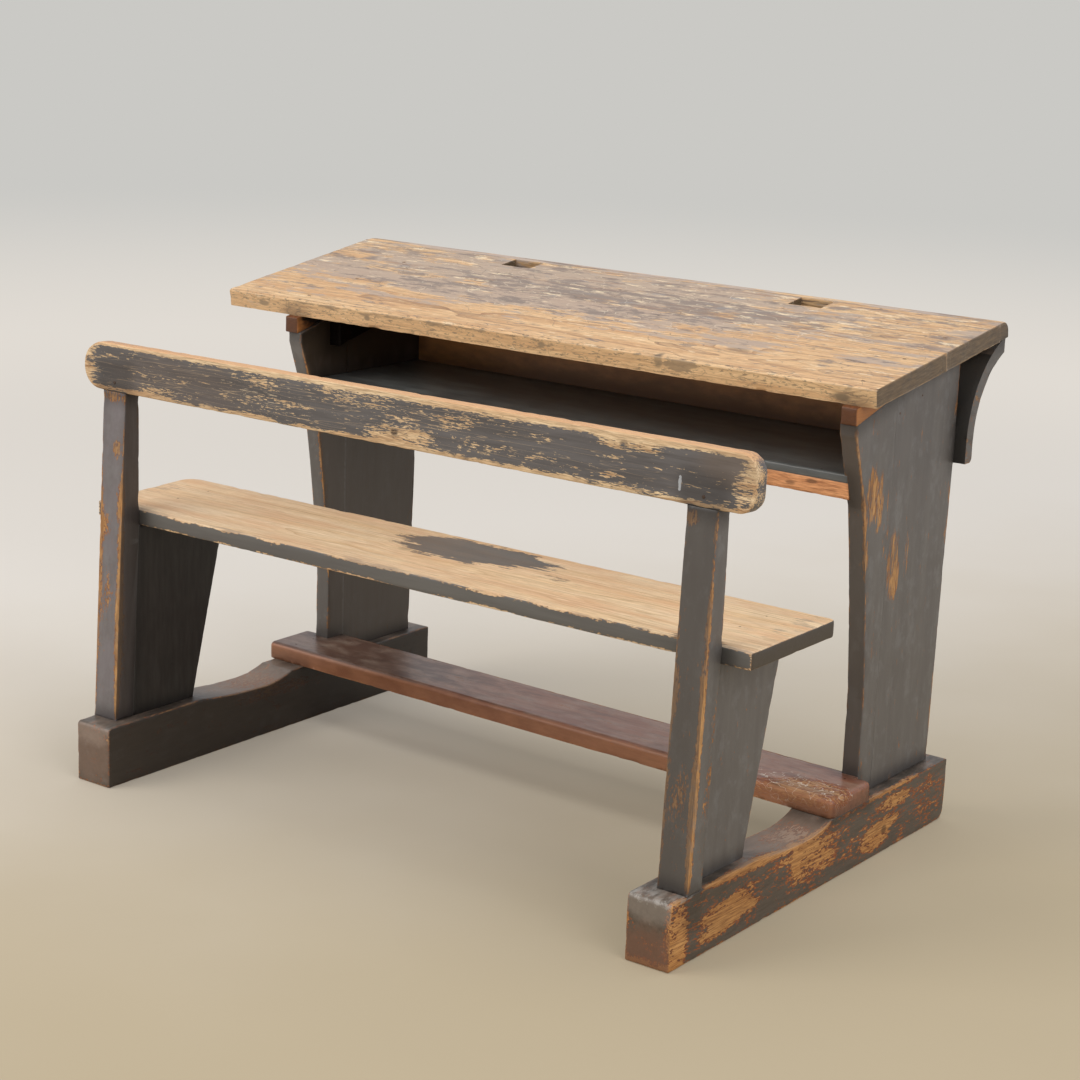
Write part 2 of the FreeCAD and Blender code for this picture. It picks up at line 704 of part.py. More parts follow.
def desk_end_front(name, side):
    """The narrow front board of a desk end, with the shaped front edge."""
    body = new_body(name)
    low, _ = outer_to_inner(side, cell("desk_end_inset"), cell("desk_end_thickness"))
    foot, seam = cell("runner_height"), cell("desk_end_seam_set")
    nose = (cell("desk_end_nose_set"), cell("desk_end_nose_height"))
    knee = (cell("desk_end_knee_set"), less(nose[1], cell("desk_end_knee_drop")))
    shin = (cell("desk_end_front_set"), total(foot, cell("desk_end_straight")))
    bow = bow_radius(knee, shin, cell("desk_end_knee_bow"))
    runs = [
        (desk_tenon_front, desk_tenon_bottom),
        (seam, desk_tenon_bottom),
        (seam, desk_end_top(seam)),
        nose,
        (nose[0], less(nose[1], cell("desk_end_nose_drop"))),
        (knee[0], knee[1], bow, -1),
        shin,
        (cell("desk_end_front_set"), foot),
        (desk_tenon_front, foot),
    ]
    pad(body, outline(body, "YZ", low, runs), cell("desk_end_thickness"))
    shelf_housing(body, side, seam)
    top_nail_holes(body, [top_nail_places(side)["desk_end_front"]])
    return body


def desk_end_rear(name, side):
    """The wide rear board of a desk end, cut to the top's underside at the back."""
    body = new_body(name)
    low, high = outer_to_inner(side, cell("desk_end_inset"), cell("desk_end_thickness"))
    foot, seam, rear = cell("runner_height"), cell("desk_end_seam_set"), cell("desk_end_rear_set")
    runs = [
        (seam, desk_tenon_bottom),
        (desk_tenon_rear, desk_tenon_bottom),
        (desk_tenon_rear, foot),
        (cell("desk_end_foot_set"), foot),
        (rear, panel_bottom),
        (rear, top_underside(rear)),
        (meeting, desk_end_top(meeting)),
        (seam, desk_end_top(seam)),
    ]
    pad(body, outline(body, "YZ", low, runs), cell("desk_end_thickness"))
    shelf_housing(body, side, total(rear, cell("overcut")))
    places = top_nail_places(side)
    top_nail_holes(body, [places["desk_end_rear"], places["rear_board"]])
    surface = high if side > 0 else low
    drive(body, "YZ", surface, cleat_nail_places(), cell("desk_end_thickness"), side < 0)
    radius = total(cell("nail_radius"), cell("nail_fit"))
    ring = circles(body, "XZ", "(-%s)" % rear, [panel_nail_places()[0 if side < 0 else -1]], radius)
    pocket(body, ring, total(cell("nail_grip"), cell("joint_fit")), True)
    return body


def top_wedge(name, side):
    """A thin packing wedge that lifts the front of the top off the sawn slope."""
    body = new_body(name)
    shift = cell("left_wedge_shift") if side < 0 else "0"
    low, _ = outer_to_inner(side, less(cell("desk_end_inset"), shift), cell("wedge_thickness"))
    front = less(cell("desk_end_nose_set"), cell("wedge_proud"))
    tip = less(meeting, cell("wedge_tip"))
    runs = [
        (front, desk_end_top(front)),
        (tip, desk_end_top(tip)),
        (tip, top_underside(tip)),
        (front, top_underside(front)),
    ]
    pad(body, outline(body, "YZ", low, runs), cell("wedge_thickness"))
    places = top_nail_places(side)
    top_nail_holes(body, [places["desk_end_front"], places["desk_end_rear"]])
    return body


def top_cleat(name, side):
    """A cleat inside a desk end, along the sawn slope, held by two nails from outside."""
    body = new_body(name)
    inset = total(cell("desk_end_inset"), cell("desk_end_thickness"))
    low, high = outer_to_inner(side, inset, cell("cleat_thickness"))
    front = total(cell("desk_end_nose_set"), cell("cleat_set"))
    rear = total(front, cell("cleat_length"))
    runs = [
        (front, less(desk_end_top(front), cell("cleat_height"))),
        (rear, less(desk_end_top(rear), cell("cleat_height"))),
        (rear, desk_end_top(rear)),
        (front, desk_end_top(front)),
    ]
    pad(body, outline(body, "YZ", low, runs), cell("cleat_thickness"))
    radius = total(cell("nail_radius"), cell("nail_fit"))
    surface = high if side > 0 else low
    holes = circles(body, "YZ", surface, cleat_nail_places(), radius)
    pocket(body, holes, less(cell("cleat_thickness"), cell("nail_short")), side < 0)
    return body


# ---------------------------------------------------------------- book compartment
def panel_nail_places():
    """Nails through the back panel, level with the shelf: ends into the desk ends."""
    column = "(%s - Params.desk_end_inset - Params.desk_end_thickness / 2)" % half_spread
    height = total(shelf_underside, "(Params.shelf_thickness / 2)")
    shares = ("-1", "-0.7", "-0.25", "0.25", "0.7", "1")
    return [("(%s * %s)" % (share, column), height) for share in shares]


def shelf_nail_places():
    """Nails down through the shelf's front edge into the strip."""
    middle = "(Params.strip_front_set + Params.strip_thickness / 2)"
    return [("(%s * %s)" % (share, shelf_end), middle) for share in ("-0.9", "-0.35", "0.3", "0.9")]


def shelf_board():
    """The shelf of the book compartment, housed in the desk ends."""
    body = new_body("shelf_board")
    corners = [
        ("(-%s)" % shelf_end, cell("strip_front_set")),
        (shelf_end, cell("strip_front_set")),
        (shelf_end, cell("desk_end_rear_set")),
        ("(-%s)" % shelf_end, cell("desk_end_rear_set")),
    ]
    pad(body, outline(body, "XY", shelf_underside, corners), cell("shelf_thickness"))
    drive(body, "XY", shelf_top, shelf_nail_places(), cell("shelf_thickness"), False)
    radius = total(cell("nail_radius"), cell("nail_fit"))
    rings = circles(body, "XZ", "(-Params.desk_end_rear_set)", panel_nail_places()[1:-1], radius)
    pocket(body, rings, total(cell("nail_grip"), cell("joint_fit")), True)
    return body


def shelf_front_strip():
    """The strip under the shelf's front edge, lapped into the desk ends."""
    body = new_body("shelf_front_strip")
    corners = [
        (cell("strip_front_set"), strip_bottom),
        (strip_rear, strip_bottom),
        (strip_rear, shelf_underside),
        (cell("strip_front_set"), shelf_underside),
    ]
    pad(body, outline(body, "YZ", "(-%s)" % shelf_end, corners), "(2 * %s)" % shelf_end)
    radius = total(cell("nail_radius"), cell("nail_fit"))
    holes = circles(body, "XY", shelf_underside, shelf_nail_places(), radius)
    pocket(body, holes, less(cell("strip_height"), cell("nail_short")))
    return body


def back_panel():
    """The back board: upright at the shelf, then coved backwards under the top's rear edge."""
    body = new_body("back_panel")
    half = less(half_spread, cell("panel_end_inset"))
    inner, thick = cell("desk_end_rear_set"), cell("panel_thickness")
    outer, toe = total(inner, thick), cell("panel_toe_radius")
    bend, radius = total(shelf_underside, cell("panel_bend_rise")), cell("panel_bend_radius")
    small = less(radius, thick)
    back, rise = "(1 - cos(Params.panel_bend_sweep * 1 deg))", "sin(Params.panel_bend_sweep * 1 deg)"
    inner_end = ("(%s + %s * %s)" % (inner, radius, back), "(%s + %s * %s)" % (bend, radius, rise))
    outer_end = ("(%s + %s * %s)" % (outer, small, back), "(%s + %s * %s)" % (bend, small, rise))
    runs = [
        (inner, panel_bottom),
        (less(outer, toe), panel_bottom, toe, 1),
        (outer, total(panel_bottom, toe)),
        (outer, bend, small, -1),
        outer_end,
        (inner_end[0], inner_end[1], radius, 1),
        (inner, bend),
    ]
    pad(body, outline(body, "YZ", "(-%s)" % half, runs), "(2 * %s)" % half)
    far, high = total(overall_depth, radius), total(top_underside(overall_depth), radius)
    above = [
        (inner, top_underside(inner)),
        (overall_depth, top_underside(overall_depth)),
        (overall_depth, panel_bottom),
        (far, panel_bottom),
        (far, high),
        (inner, high),
    ]
    pocket(body, outline(body, "YZ", "(-%s)" % half, above), "(2 * %s)" % half, True)
    drive(body, "XZ", "(-%s)" % outer, panel_nail_places(), thick, True)
    return body


# ---------------------------------------------------------------- sloping top
top_right = total(half_spread, cell("top_overhang_right"))
top_left = "(-(%s + Params.top_overhang_left))" % half_spread


def top_left_at(slope_distance):
    """The left end of the top, sawn out of square, at a distance up the slope."""
    full = "(Params.top_width - Params.top_corner_radius)"
    skew = "Params.top_left_skew * (1 - (%s) / %s)" % (slope_distance, full)
    return "(%s + %s)" % (top_left, skew)


def top_board(name, start, end, runs):
    """One board of the top: its section runs along x, then the skewed left end is sawn."""
    body = new_body(name)
    length = less(top_right, top_left)
    pad(body, outline(body, "YZ", top_left, runs, SLOPING), length)
    base, tilt = on_top("(-Params.overcut)")
    beyond = less(top_left, cell("overcut"))
    saw = [
        (beyond, less(start, cell("overcut"))),
        (top_left_at(less(start, cell("overcut"))), less(start, cell("overcut"))),
        (top_left_at(total(end, cell("overcut"))), total(end, cell("overcut"))),
        (beyond, total(end, cell("overcut"))),
    ]
    pocket(body, outline(body, "XY", base, saw, tilt), "(Params.top_thickness + 2 * Params.overcut)", True)
    return body


def top_front_board():
    """The front board of the top, its upper arris worn round."""
    width, thick, soft = cell("top_front_board_width"), cell("top_thickness"), cell("top_front_radius")
    runs = [
        ("0", "0"),
        (width, "0"),
        (width, thick),
        (soft, thick, soft, 1),
        ("0", less(thick, soft)),
    ]
    body = top_board("top_front_board", "0", width, runs)
    surface, tilt = on_top(thick)
    places = [top_nail_places(side)[key] for side in (-1, 1)
              for key in ("desk_end_front", "desk_end_rear")]
    drive(body, "XY", surface, places, thick, False, tilt)
    return body


def top_rear_board():
    """The rear board of the top, notched in its far edge for two square inkwells."""
    start, thick = cell("top_front_board_width"), cell("top_thickness")
    end = less(cell("top_width"), cell("top_strip_width"))
    runs = [(start, "0"), (end, "0"), (end, thick), (start, thick)]
    body = top_board("top_rear_board", start, end, runs)
    surface, tilt = on_top(thick)
    places = [top_nail_places(side)["rear_board"] for side in (-1, 1)]
    drive(body, "XY", surface, places, thick, False, tilt)
    base, tilt = on_top("(-Params.overcut)")
    near = less(end, cell("inkwell_width"))
    for centre in (cell("inkwell_left"), cell("inkwell_right")):
        low = "(%s - Params.inkwell_length / 2)" % centre
        high = "(%s + Params.inkwell_length / 2)" % centre
        box_cut(body, "XY", base, (low, near), (high, total(end, cell("overcut"))),
                "(Params.top_thickness + 2 * Params.overcut)", True, tilt)
    return body


def top_rear_strip():
    """The strip along the rear edge, rounded over, with its left corner rounded in plan."""
    width, thick, soft = cell("top_width"), cell("top_thickness"), cell("top_rear_radius")
    start = less(width, cell("top_strip_width"))
    runs = [
        (start, "0"),
        (width, "0"),
        (width, less(thick, soft), soft, 1),
        (less(width, soft), thick),
        (start, thick),
    ]
    body = top_board("top_rear_strip", start, width, runs)
    corner = cell("top_corner_radius")
    base, tilt = on_top("(-Params.overcut)")
    beyond, past = less(top_left, cell("overcut")), total(width, cell("overcut"))
    runs = [
        (beyond, less(width, corner)),
        (top_left_at(less(width, corner)), less(width, corner), corner, -1),
        (total(top_left, corner), width),
        (total(top_left, corner), past),
        (beyond, past),
    ]
    pocket(body, outline(body, "XY", base, runs, tilt), "(Params.top_thickness + 2 * Params.overcut)", True)
    return body


# ---------------------------------------------------------------- build everything
PARTS = []
for side, hand in ((-1, "left"), (1, "right")):
    PARTS.append(runner(hand + "_runner", side))
    PARTS.append(bench_board(hand + "_bench_board", side))
    PARTS.append(bench_post(hand + "_bench_post", side))
    PARTS.append(desk_end_front(hand + "_desk_end_front", side))
    PARTS.append(desk_end_rear(hand + "_desk_end_rear", side))
    PARTS.append(top_wedge(hand + "_top_wedge", side))
    PARTS.append(top_cleat(hand + "_top_cleat", side))
for make in (seat_plank, backrest_rail, footrest_board, shelf_board, shelf_front_strip,
             back_panel, top_front_board, top_rear_board, top_rear_strip):
    PARTS.append(make())

# Nails, pegs and pins, one group for each row.
grip = cell("nail_grip")
PARTS.append(nails("seat_nails", "XY", cell("seat_height"),
                   seat_nail_places(-1) + seat_nail_places(1),
                   total(cell("seat_thickness"), grip), False))
PARTS.append(nails("footrest_nails", "XY", total(cell("runner_height"), cell("footrest_thickness")),
                   footrest_nail_places(-1) + footrest_nail_places(1),
                   total(cell("footrest_thickness"), grip), False))
PARTS.append(nails("shelf_nails", "XY", shelf_top, shelf_nail_places(),
                   "(Params.shelf_thickness + Params.strip_height - Params.nail_short)", False))
PARTS.append(nails("back_panel_nails", "XZ", "(-(Params.desk_end_rear_set + Params.panel_thickness))",
                   panel_nail_places(), total(cell("panel_thickness"), grip), True))
top_surface, top_tilt = on_top(cell("top_thickness"))
PARTS.append(nails("top_nails", "XY", top_surface,
                   list(top_nail_places(-1).values()) + list(top_nail_places(1).values()),
                   total(cell("top_thickness"), grip), False, top_tilt))
for side, hand in ((-1, "left"), (1, "right")):
    outer = "(%d * (%s - Params.desk_end_inset))" % (side, half_spread)
    PARTS.append(nails(hand + "_cleat_nails", "YZ", outer, cleat_nail_places(),
                       "(Params.desk_end_thickness + Params.cleat_thickness - Params.nail_short)",
                       side < 0))
    pegs = new_body(hand + "_bench_pegs")
    pegs.AllowCompound = True
    inner = "(%d * (%s - Params.runner_thickness))" % (side, half_spread)
    pad(pegs, circles(pegs, "YZ", inner, PEG_PLACES, cell("peg_radius")), cell("peg_length"), side < 0)
    PARTS.append(pegs)
pins = new_body("rail_pins")
pins.AllowCompound = True
rings = circles(pins, "XZ", "(-%s)" % rail_pin_start, rail_pin_places(), cell("rail_pin_radius"))
pad(pins, rings, rail_pin_length, True)
PARTS.append(pins)

doc.recompute()

broken = [item.Label for item in doc.Objects if "Invalid" in item.State or "Error" in item.State]
for part in PARTS:
    if part.Shape.isNull() or not part.Shape.isValid():
        broken.append(part.Label)
if broken:
    raise RuntimeError("not built: " + ", ".join(broken))

os.makedirs("parts", exist_ok=True)
whole = FreeCAD.BoundBox()
for part in PARTS:
    part.Shape.exportStep("parts/%s.step" % part.Label)
    whole.add(part.Shape.BoundBox)
    print("%-24s %2d solid(s) %12.1f mm3" % (part.Label, len(part.Shape.Solids), part.Shape.Volume))
print("box", [round(number, 2) for number in (whole.XMin, whole.XMax, whole.YMin, whole.YMax,
                                              whole.ZMin, whole.ZMax)])
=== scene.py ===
# %% [markdown]
# # An old double school desk
# This lesson dresses a finished CAD frame: two floor runners that carry a bench and a desk with a
# sloping top. Every board of the real desk is planed pine, painted grey or stained long ago and worn
# since then by elbows and shoes. The CAD boards are exact, so each one is copied, its arrises are
# rounded and bitten, and a finish built from nodes is laid over it. Nothing is moved or resized.
#
# The frame is loaded first.

import math

import bmesh
import bpy
import numpy as np
from mathutils import Matrix, Vector, noise
from mathutils.bvhtree import BVHTree
from mathutils.kdtree import KDTree


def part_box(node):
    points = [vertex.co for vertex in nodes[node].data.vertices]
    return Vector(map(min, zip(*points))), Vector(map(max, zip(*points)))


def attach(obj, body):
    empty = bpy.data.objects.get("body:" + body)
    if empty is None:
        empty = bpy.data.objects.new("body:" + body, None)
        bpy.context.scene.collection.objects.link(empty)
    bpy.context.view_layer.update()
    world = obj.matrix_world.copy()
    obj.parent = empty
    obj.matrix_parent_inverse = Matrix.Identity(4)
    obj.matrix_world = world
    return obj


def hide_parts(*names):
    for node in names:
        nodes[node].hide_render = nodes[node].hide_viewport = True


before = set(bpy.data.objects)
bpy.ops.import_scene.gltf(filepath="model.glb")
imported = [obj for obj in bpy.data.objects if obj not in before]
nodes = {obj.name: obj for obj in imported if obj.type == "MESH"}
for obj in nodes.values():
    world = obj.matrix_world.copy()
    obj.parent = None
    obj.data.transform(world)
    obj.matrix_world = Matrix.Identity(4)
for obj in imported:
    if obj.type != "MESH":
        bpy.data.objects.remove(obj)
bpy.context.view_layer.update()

# %% [markdown]
# ## Colours and nodes
# Colours are written as the hex values that a paint card would give. Blender's shaders count in linear
# light, so one function does the change. A second small function adds a node, sets it and links it. The
# settings that come back again and again get names of their own.

# %% Two helpers
SOFT = {"interpolation_type": "SMOOTHSTEP"}
TIMES = {"operation": "MULTIPLY"}
TIMES_PLUS = {"operation": "MULTIPLY_ADD"}
TIMES_AT_MOST_1 = {"operation": "MULTIPLY", "use_clamp": True}
COVER = {"data_type": "RGBA"}
STAIN = {"data_type": "RGBA", "blend_type": "MULTIPLY"}


def linear(code):
    """An sRGB hex colour as linear red, green, blue and alpha."""
    parts = [int(code[i : i + 2], 16) / 255 for i in (1, 3, 5)]
    return [p / 12.92 if p <= 0.04045 else ((p + 0.055) / 1.055) ** 2.4 for p in parts] + [1.0]


def add(tree, kind, settings, inputs):
    """One node. An input is a number, a socket, or a node, which gives its first live output."""
    node = tree.nodes.new("ShaderNode" + kind)
    for name, value in settings.items():
        setattr(node, name, value)
    for key, value in inputs.items():
        if isinstance(value, bpy.types.Node):
            value = next(output for output in value.outputs if output.enabled)
        if isinstance(value, bpy.types.NodeSocket):
            tree.links.new(value, node.inputs[key])
        else:
            node.inputs[key].default_value = value
    return node


print("mid grey in linear light:", [round(v, 3) for v in linear("#808080")])

# %% [markdown]
# ## The camera
# A long lens, about 80 mm on a full frame, stands above seat height in front of the right end, turned
# and tipped down a little. The lens keeps the desk's far end almost as large as its near end. The
# camera's three directions are worked out from its angles and put into one matrix, which is surer than
# a chain of rotations.

# %% Camera
YAW = 0.6293
PITCH = 0.2481
ROLL = 0.0367
STAND = Vector((2.1285, -2.8542, 1.2949))
LENS = 80.03
SENSOR = 36.0
SHIFT = (-0.0001, 0.0026)

forward = Vector((-math.sin(YAW) * math.cos(PITCH), math.cos(YAW) * math.cos(PITCH), -math.sin(PITCH)))
level = Vector((math.cos(YAW), math.sin(YAW), 0.0))
upward = level.cross(forward)
right = level * math.cos(ROLL) + upward * math.sin(ROLL)
above = upward * math.cos(ROLL) - level * math.sin(ROLL)

lens = bpy.data.cameras.new("camera")
lens.lens = LENS
lens.sensor_width = SENSOR
lens.shift_x, lens.shift_y = SHIFT
lens.clip_end = 200.0
camera = bpy.data.objects.new("camera", lens)
bpy.context.scene.collection.objects.link(camera)
turn = Matrix((right, above, -forward)).transposed().to_4x4()
camera.matrix_world = Matrix.Translation(STAND) @ turn
bpy.context.scene.camera = camera
print("camera looks along", [round(v, 3) for v in forward])

# %% [markdown]
# ## What holds the boards together
# Nails, pegs and pins sit in drilled holes in the CAD boards. A real nail fills its hole, so the holes
# are closed in the dressed boards. For that each fastener's own line is needed: its middle, its
# direction and its length. They are read from the fastener's mesh, so they follow the CAD when a nail
# moves there.

# %% Fastener lines
MERGE = 0.00001
NAIL_HOLE = 0.0037
PEG_HOLE = 0.0061
PIN_HOLE = 0.0031
HEAD_SHARE = 0.8
NAILED = ("left_cleat", "right_cleat", "seat", "footrest", "shelf", "back_panel", "top")
FASTENERS = {name + "_nails": NAIL_HOLE for name in NAILED}
FASTENERS |= {"left_bench_pegs": PEG_HOLE, "right_bench_pegs": PEG_HOLE, "rail_pins": PIN_HOLE}


def loose_parts(name):
    """The separate solids of a CAD node, each as an array of its points."""
    mesh = bmesh.new()
    mesh.from_mesh(nodes[name].data)
    bmesh.ops.remove_doubles(mesh, verts=mesh.verts, dist=MERGE)
    waiting = set(mesh.verts)
    parts = []
    while waiting:
        search = [waiting.pop()]
        found = []
        while search:
            vertex = search.pop()
            found.append(vertex.co[:])
            for edge in vertex.link_edges:
                other = edge.other_vert(vertex)
                if other in waiting:
                    waiting.remove(other)
                    search.append(other)
        parts.append(np.array(found))
    mesh.free()
    return sorted(parts, key=lambda p: tuple(np.round(p.mean(0), 4)))


def fastener_line(name, points):
    """Middle, direction, reach and head of one fastener. The head is where it is widest."""
    middle = (points.max(0) + points.min(0)) / 2
    spread = points - points.mean(0)
    axis = np.linalg.svd(spread, full_matrices=False)[2][0]
    reach = (points - middle) @ axis
    width = np.linalg.norm(spread - np.outer(spread @ axis, axis), axis=1)
    head = reach[width > HEAD_SHARE * width.max()].mean()
    return {"node": name, "middle": middle, "axis": axis, "low": reach.min(), "high": reach.max(),
            "radius": FASTENERS[name], "head": head}


lines = [fastener_line(name, points) for name in FASTENERS for points in loose_parts(name)]
print("fasteners:", len(lines))

# %% [markdown]
# ## From an exact board to an old one
# A planed board has sharp arrises only on the day it is made. The copy of each CAD board goes through
# five steps: close its nail holes, join the flat triangles into whole faces, round every free arris
# with a bevel, cut the faces into small cells along and across the grain, and then push the cells
# inwards a little with noise. Only inwards, so that no board grows out of its place, and not at all
# where another board touches it.
#
# The holes come first. The faces that lie in a fastener's cylinder are taken out and the rim is capped.

# %% Closing the holes
HOLE_ROOM = 0.0006
HOLE_END = 0.004

boards = [n for n in sorted(nodes) if n not in FASTENERS]


def close_holes(mesh):
    """Removes the walls of fastener holes and caps what is left open."""
    points = np.array([v.co[:] for v in mesh.verts])
    mesh.verts.index_update()
    walls = set()
    for line in lines:
        offset = points - line["middle"]
        along = offset @ line["axis"]
        radial = np.linalg.norm(offset - along[:, None] * line["axis"], axis=1)
        inside = (along > line["low"] - HOLE_END) & (along < line["high"] + HOLE_END)
        inside &= radial < line["radius"] + HOLE_ROOM
        if inside.any():
            walls |= {f for f in mesh.faces if all(inside[v.index] for v in f.verts)}
    if walls:
        bmesh.ops.delete(mesh, geom=list(walls), context="FACES")
        rims = [e for e in mesh.edges if e.is_boundary]
        bmesh.ops.holes_fill(mesh, edges=rims, sides=0)


print("boards to dress:", len(boards))

# %% [markdown]
# ## Rounding the arrises
# A hand plane takes the sharpness off an arris, and use rounds it on to a radius of 2 or 3 mm. Bevel
# weights do that: full on every free arris, and nearly nothing where another board lies against it, so
# that joints stay tight. The bevel modifier is used for its arc-shaped corners, which the bmesh
# operator lacks. It needs an object to sit on, so one spare object is kept for it.

# %% Rounded copy
ARRIS = 0.0024
ARRIS_SHARP = math.radians(28)
HELD_ARRIS = 0.12
ONE_PLANE = math.radians(0.6)
TOUCH = 0.0008
SAMPLE_STEP = 0.003

skins = {}
for name in boards:
    vertices = [v.co.copy() for v in nodes[name].data.vertices]
    skins[name] = BVHTree.FromPolygons(vertices, [p.vertices[:] for p in nodes[name].data.polygons])

spare = bpy.data.objects.new("spare", bpy.data.meshes.new("spare"))
bpy.context.scene.collection.objects.link(spare)


def free_edge(edge, name):
    """False where another board lies against the middle of this edge."""
    middle = (edge.verts[0].co + edge.verts[1].co) / 2
    for other, skin in skins.items():
        if other != name and skin.find_nearest(middle, TOUCH)[0] is not None:
            return False
    return True


def rounded_copy(name, arris):
    """The board with closed holes and round arrises, and sample points along the free arrises."""
    mesh = bmesh.new()
    mesh.from_mesh(nodes[name].data)
    bmesh.ops.remove_doubles(mesh, verts=mesh.verts, dist=MERGE)
    close_holes(mesh)
    bmesh.ops.recalc_face_normals(mesh, faces=mesh.faces)
    bmesh.ops.dissolve_limit(mesh, angle_limit=ONE_PLANE, verts=mesh.verts, edges=mesh.edges)
    weight = mesh.edges.layers.float.new("bevel_weight_edge")
    samples = []
    for edge in mesh.edges:
        if len(edge.link_faces) != 2 or not edge.is_convex or edge.calc_face_angle(0.0) < ARRIS_SHARP:
            continue
        free = free_edge(edge, name)
        edge[weight] = 1.0 if free else HELD_ARRIS
        if free:
            steps = max(1, int(edge.calc_length() / SAMPLE_STEP))
            first, last = edge.verts[0].co, edge.verts[1].co
            samples += [first.lerp(last, (i + 0.5) / steps) for i in range(steps)]
    mesh.to_mesh(spare.data)
    mesh.free()
    spare.modifiers.clear()
    bevel = spare.modifiers.new("arris", "BEVEL")
    bevel.limit_method = "WEIGHT"
    bevel.width = arris
    bevel.segments = 3
    bevel.use_clamp_overlap = True
    bevel.miter_outer = "MITER_ARC"
    graph = bpy.context.evaluated_depsgraph_get()
    graph.update()
    rounded = bpy.data.meshes.new_from_object(spare.evaluated_get(graph), depsgraph=graph)
    return rounded, samples


print("arris radius", ARRIS * 1000, "mm")

# %% [markdown]
# ## Cutting the faces into cells
# Noise can only move points that are there, so a face needs a close net of them. Bisecting is used,
# because it follows any outline and leaves straight rows, which a remesh would not. The cells are
# about 5 mm long and 13 mm wide, small enough for a bite in an arris. Two extra cuts just inside each
# large face keep the cells along its arrises narrow.

# %% Cells
FLAT = math.radians(5)
ROWS = (0.0055, 0.0095)
ROW_AREA = 0.0015
SPECK = 0.0002
CELL_ALONG = 0.0055
CELL_ACROSS = 0.013


def cut(mesh, point, normal):
    """One straight cut through the whole mesh."""
    everything = mesh.verts[:] + mesh.edges[:] + mesh.faces[:]
    bmesh.ops.bisect_plane(mesh, geom=everything, dist=MERGE, plane_co=point, plane_no=normal)


def flat_groups(mesh):
    """Faces gathered into groups that lie almost in one plane."""
    waiting = set(mesh.faces)
    groups = []
    while waiting:
        search = [waiting.pop()]
        group = []
        while search:
            face = search.pop()
            group.append(face)
            for edge in face.edges:
                for other in edge.link_faces:
                    if other in waiting and face.normal.angle(other.normal, 9.0) < FLAT:
                        waiting.remove(other)
                        search.append(other)
        groups.append(group)
    return groups


def cut_rows(mesh):
    """Cuts just inside every large plane face."""
    planes = []
    for group in flat_groups(mesh):
        if sum(f.calc_area() for f in group) < ROW_AREA:
            continue
        widest = max(group, key=lambda f: f.calc_area())
        normal, point = widest.normal.copy(), widest.calc_center_median()
        if max(abs((v.co - point) @ normal) for f in group for v in f.verts) < TOUCH / 2:
            planes.append((normal, point))
    for normal, point in planes:
        for depth in ROWS:
            cut(mesh, point - normal * depth, normal)


def cut_cells(mesh, axis, step):
    """Parallel cuts, a step apart, across the given direction."""
    reach = [v.co @ axis for v in mesh.verts]
    low, high = min(reach), max(reach)
    count = max(1, int(round((high - low) / step)))
    for i in range(1, count):
        cut(mesh, axis * (low + (high - low) * i / count), axis)


def board_mesh(name, arris, along, across):
    """The rounded board in cells, and the samples of its free arrises."""
    rounded, samples = rounded_copy(name, arris)
    mesh = bmesh.new()
    mesh.from_mesh(rounded)
    bpy.data.meshes.remove(rounded)
    outlines = [f for f in mesh.faces if len(f.verts) > 4]
    bmesh.ops.triangulate(mesh, faces=outlines, quad_method="BEAUTY", ngon_method="BEAUTY")
    cut_rows(mesh)
    cut_cells(mesh, across, CELL_ACROSS)
    cut_cells(mesh, along, CELL_ALONG)
    bmesh.ops.remove_doubles(mesh, verts=mesh.verts, dist=SPECK)
    bmesh.ops.dissolve_degenerate(mesh, edges=mesh.edges, dist=SPECK / 2)
    data = bpy.data.meshes.new("aged_" + name)
    mesh.to_mesh(data)
    mesh.free()
    return data, samples


print("cells of", CELL_ALONG * 1000, "by", CELL_ACROSS * 1000, "mm and", len(ROWS), "rows along the arrises")

# %% [markdown]
# ## Numbers stored on a board
# Paint goes first where hands and shoes reach it: along the free arrises. The distance from every
# point to the nearest free arris becomes a number stored on the mesh, "wear", that the finish reads.
# A second number, "grime", rises where one board comes close to another: dirt stays there,
# and it also paints the shade that falls between boards. A third, "grain", holds the place of the
# point in the board's own directions: along the grain, across the face and into the depth. The growth
# rings are drawn from it, so they run the right way on every board, also on the ones that lean. The
# last, "end_grain", is 1 where the board was sawn across.

# %% Directions and distances
AXES = {"X": Vector((1, 0, 0)), "Y": Vector((0, 1, 0)), "Z": Vector((0, 0, 1))}
LEVEL = 0.01
RIPPLE_STEP = np.array((7.31, 3.17, 1.93))

# boards glued edge to edge, between which no dirt gathers and no shade is painted
GLUED = (
    ("left_desk_end_front", "left_desk_end_rear"), ("right_desk_end_front", "right_desk_end_rear"),
    ("top_front_board", "top_rear_board"), ("top_rear_board", "top_rear_strip"),
)


def ripple(points, size, seed):
    """Smooth noise from -1 to 1 at each point, with waves of the given size in metres."""
    size = np.broadcast_to(np.array(size, float), (3,))
    scaled = points / size + seed * RIPPLE_STEP
    return np.array([noise.noise(Vector(p)) for p in scaled])


def falloff(distance, start, end):
    """1 up to start, 0 from end on, and smooth between them."""
    t = np.clip((end - distance) / (end - start), 0, 1)
    return t * t * (3 - 2 * t)


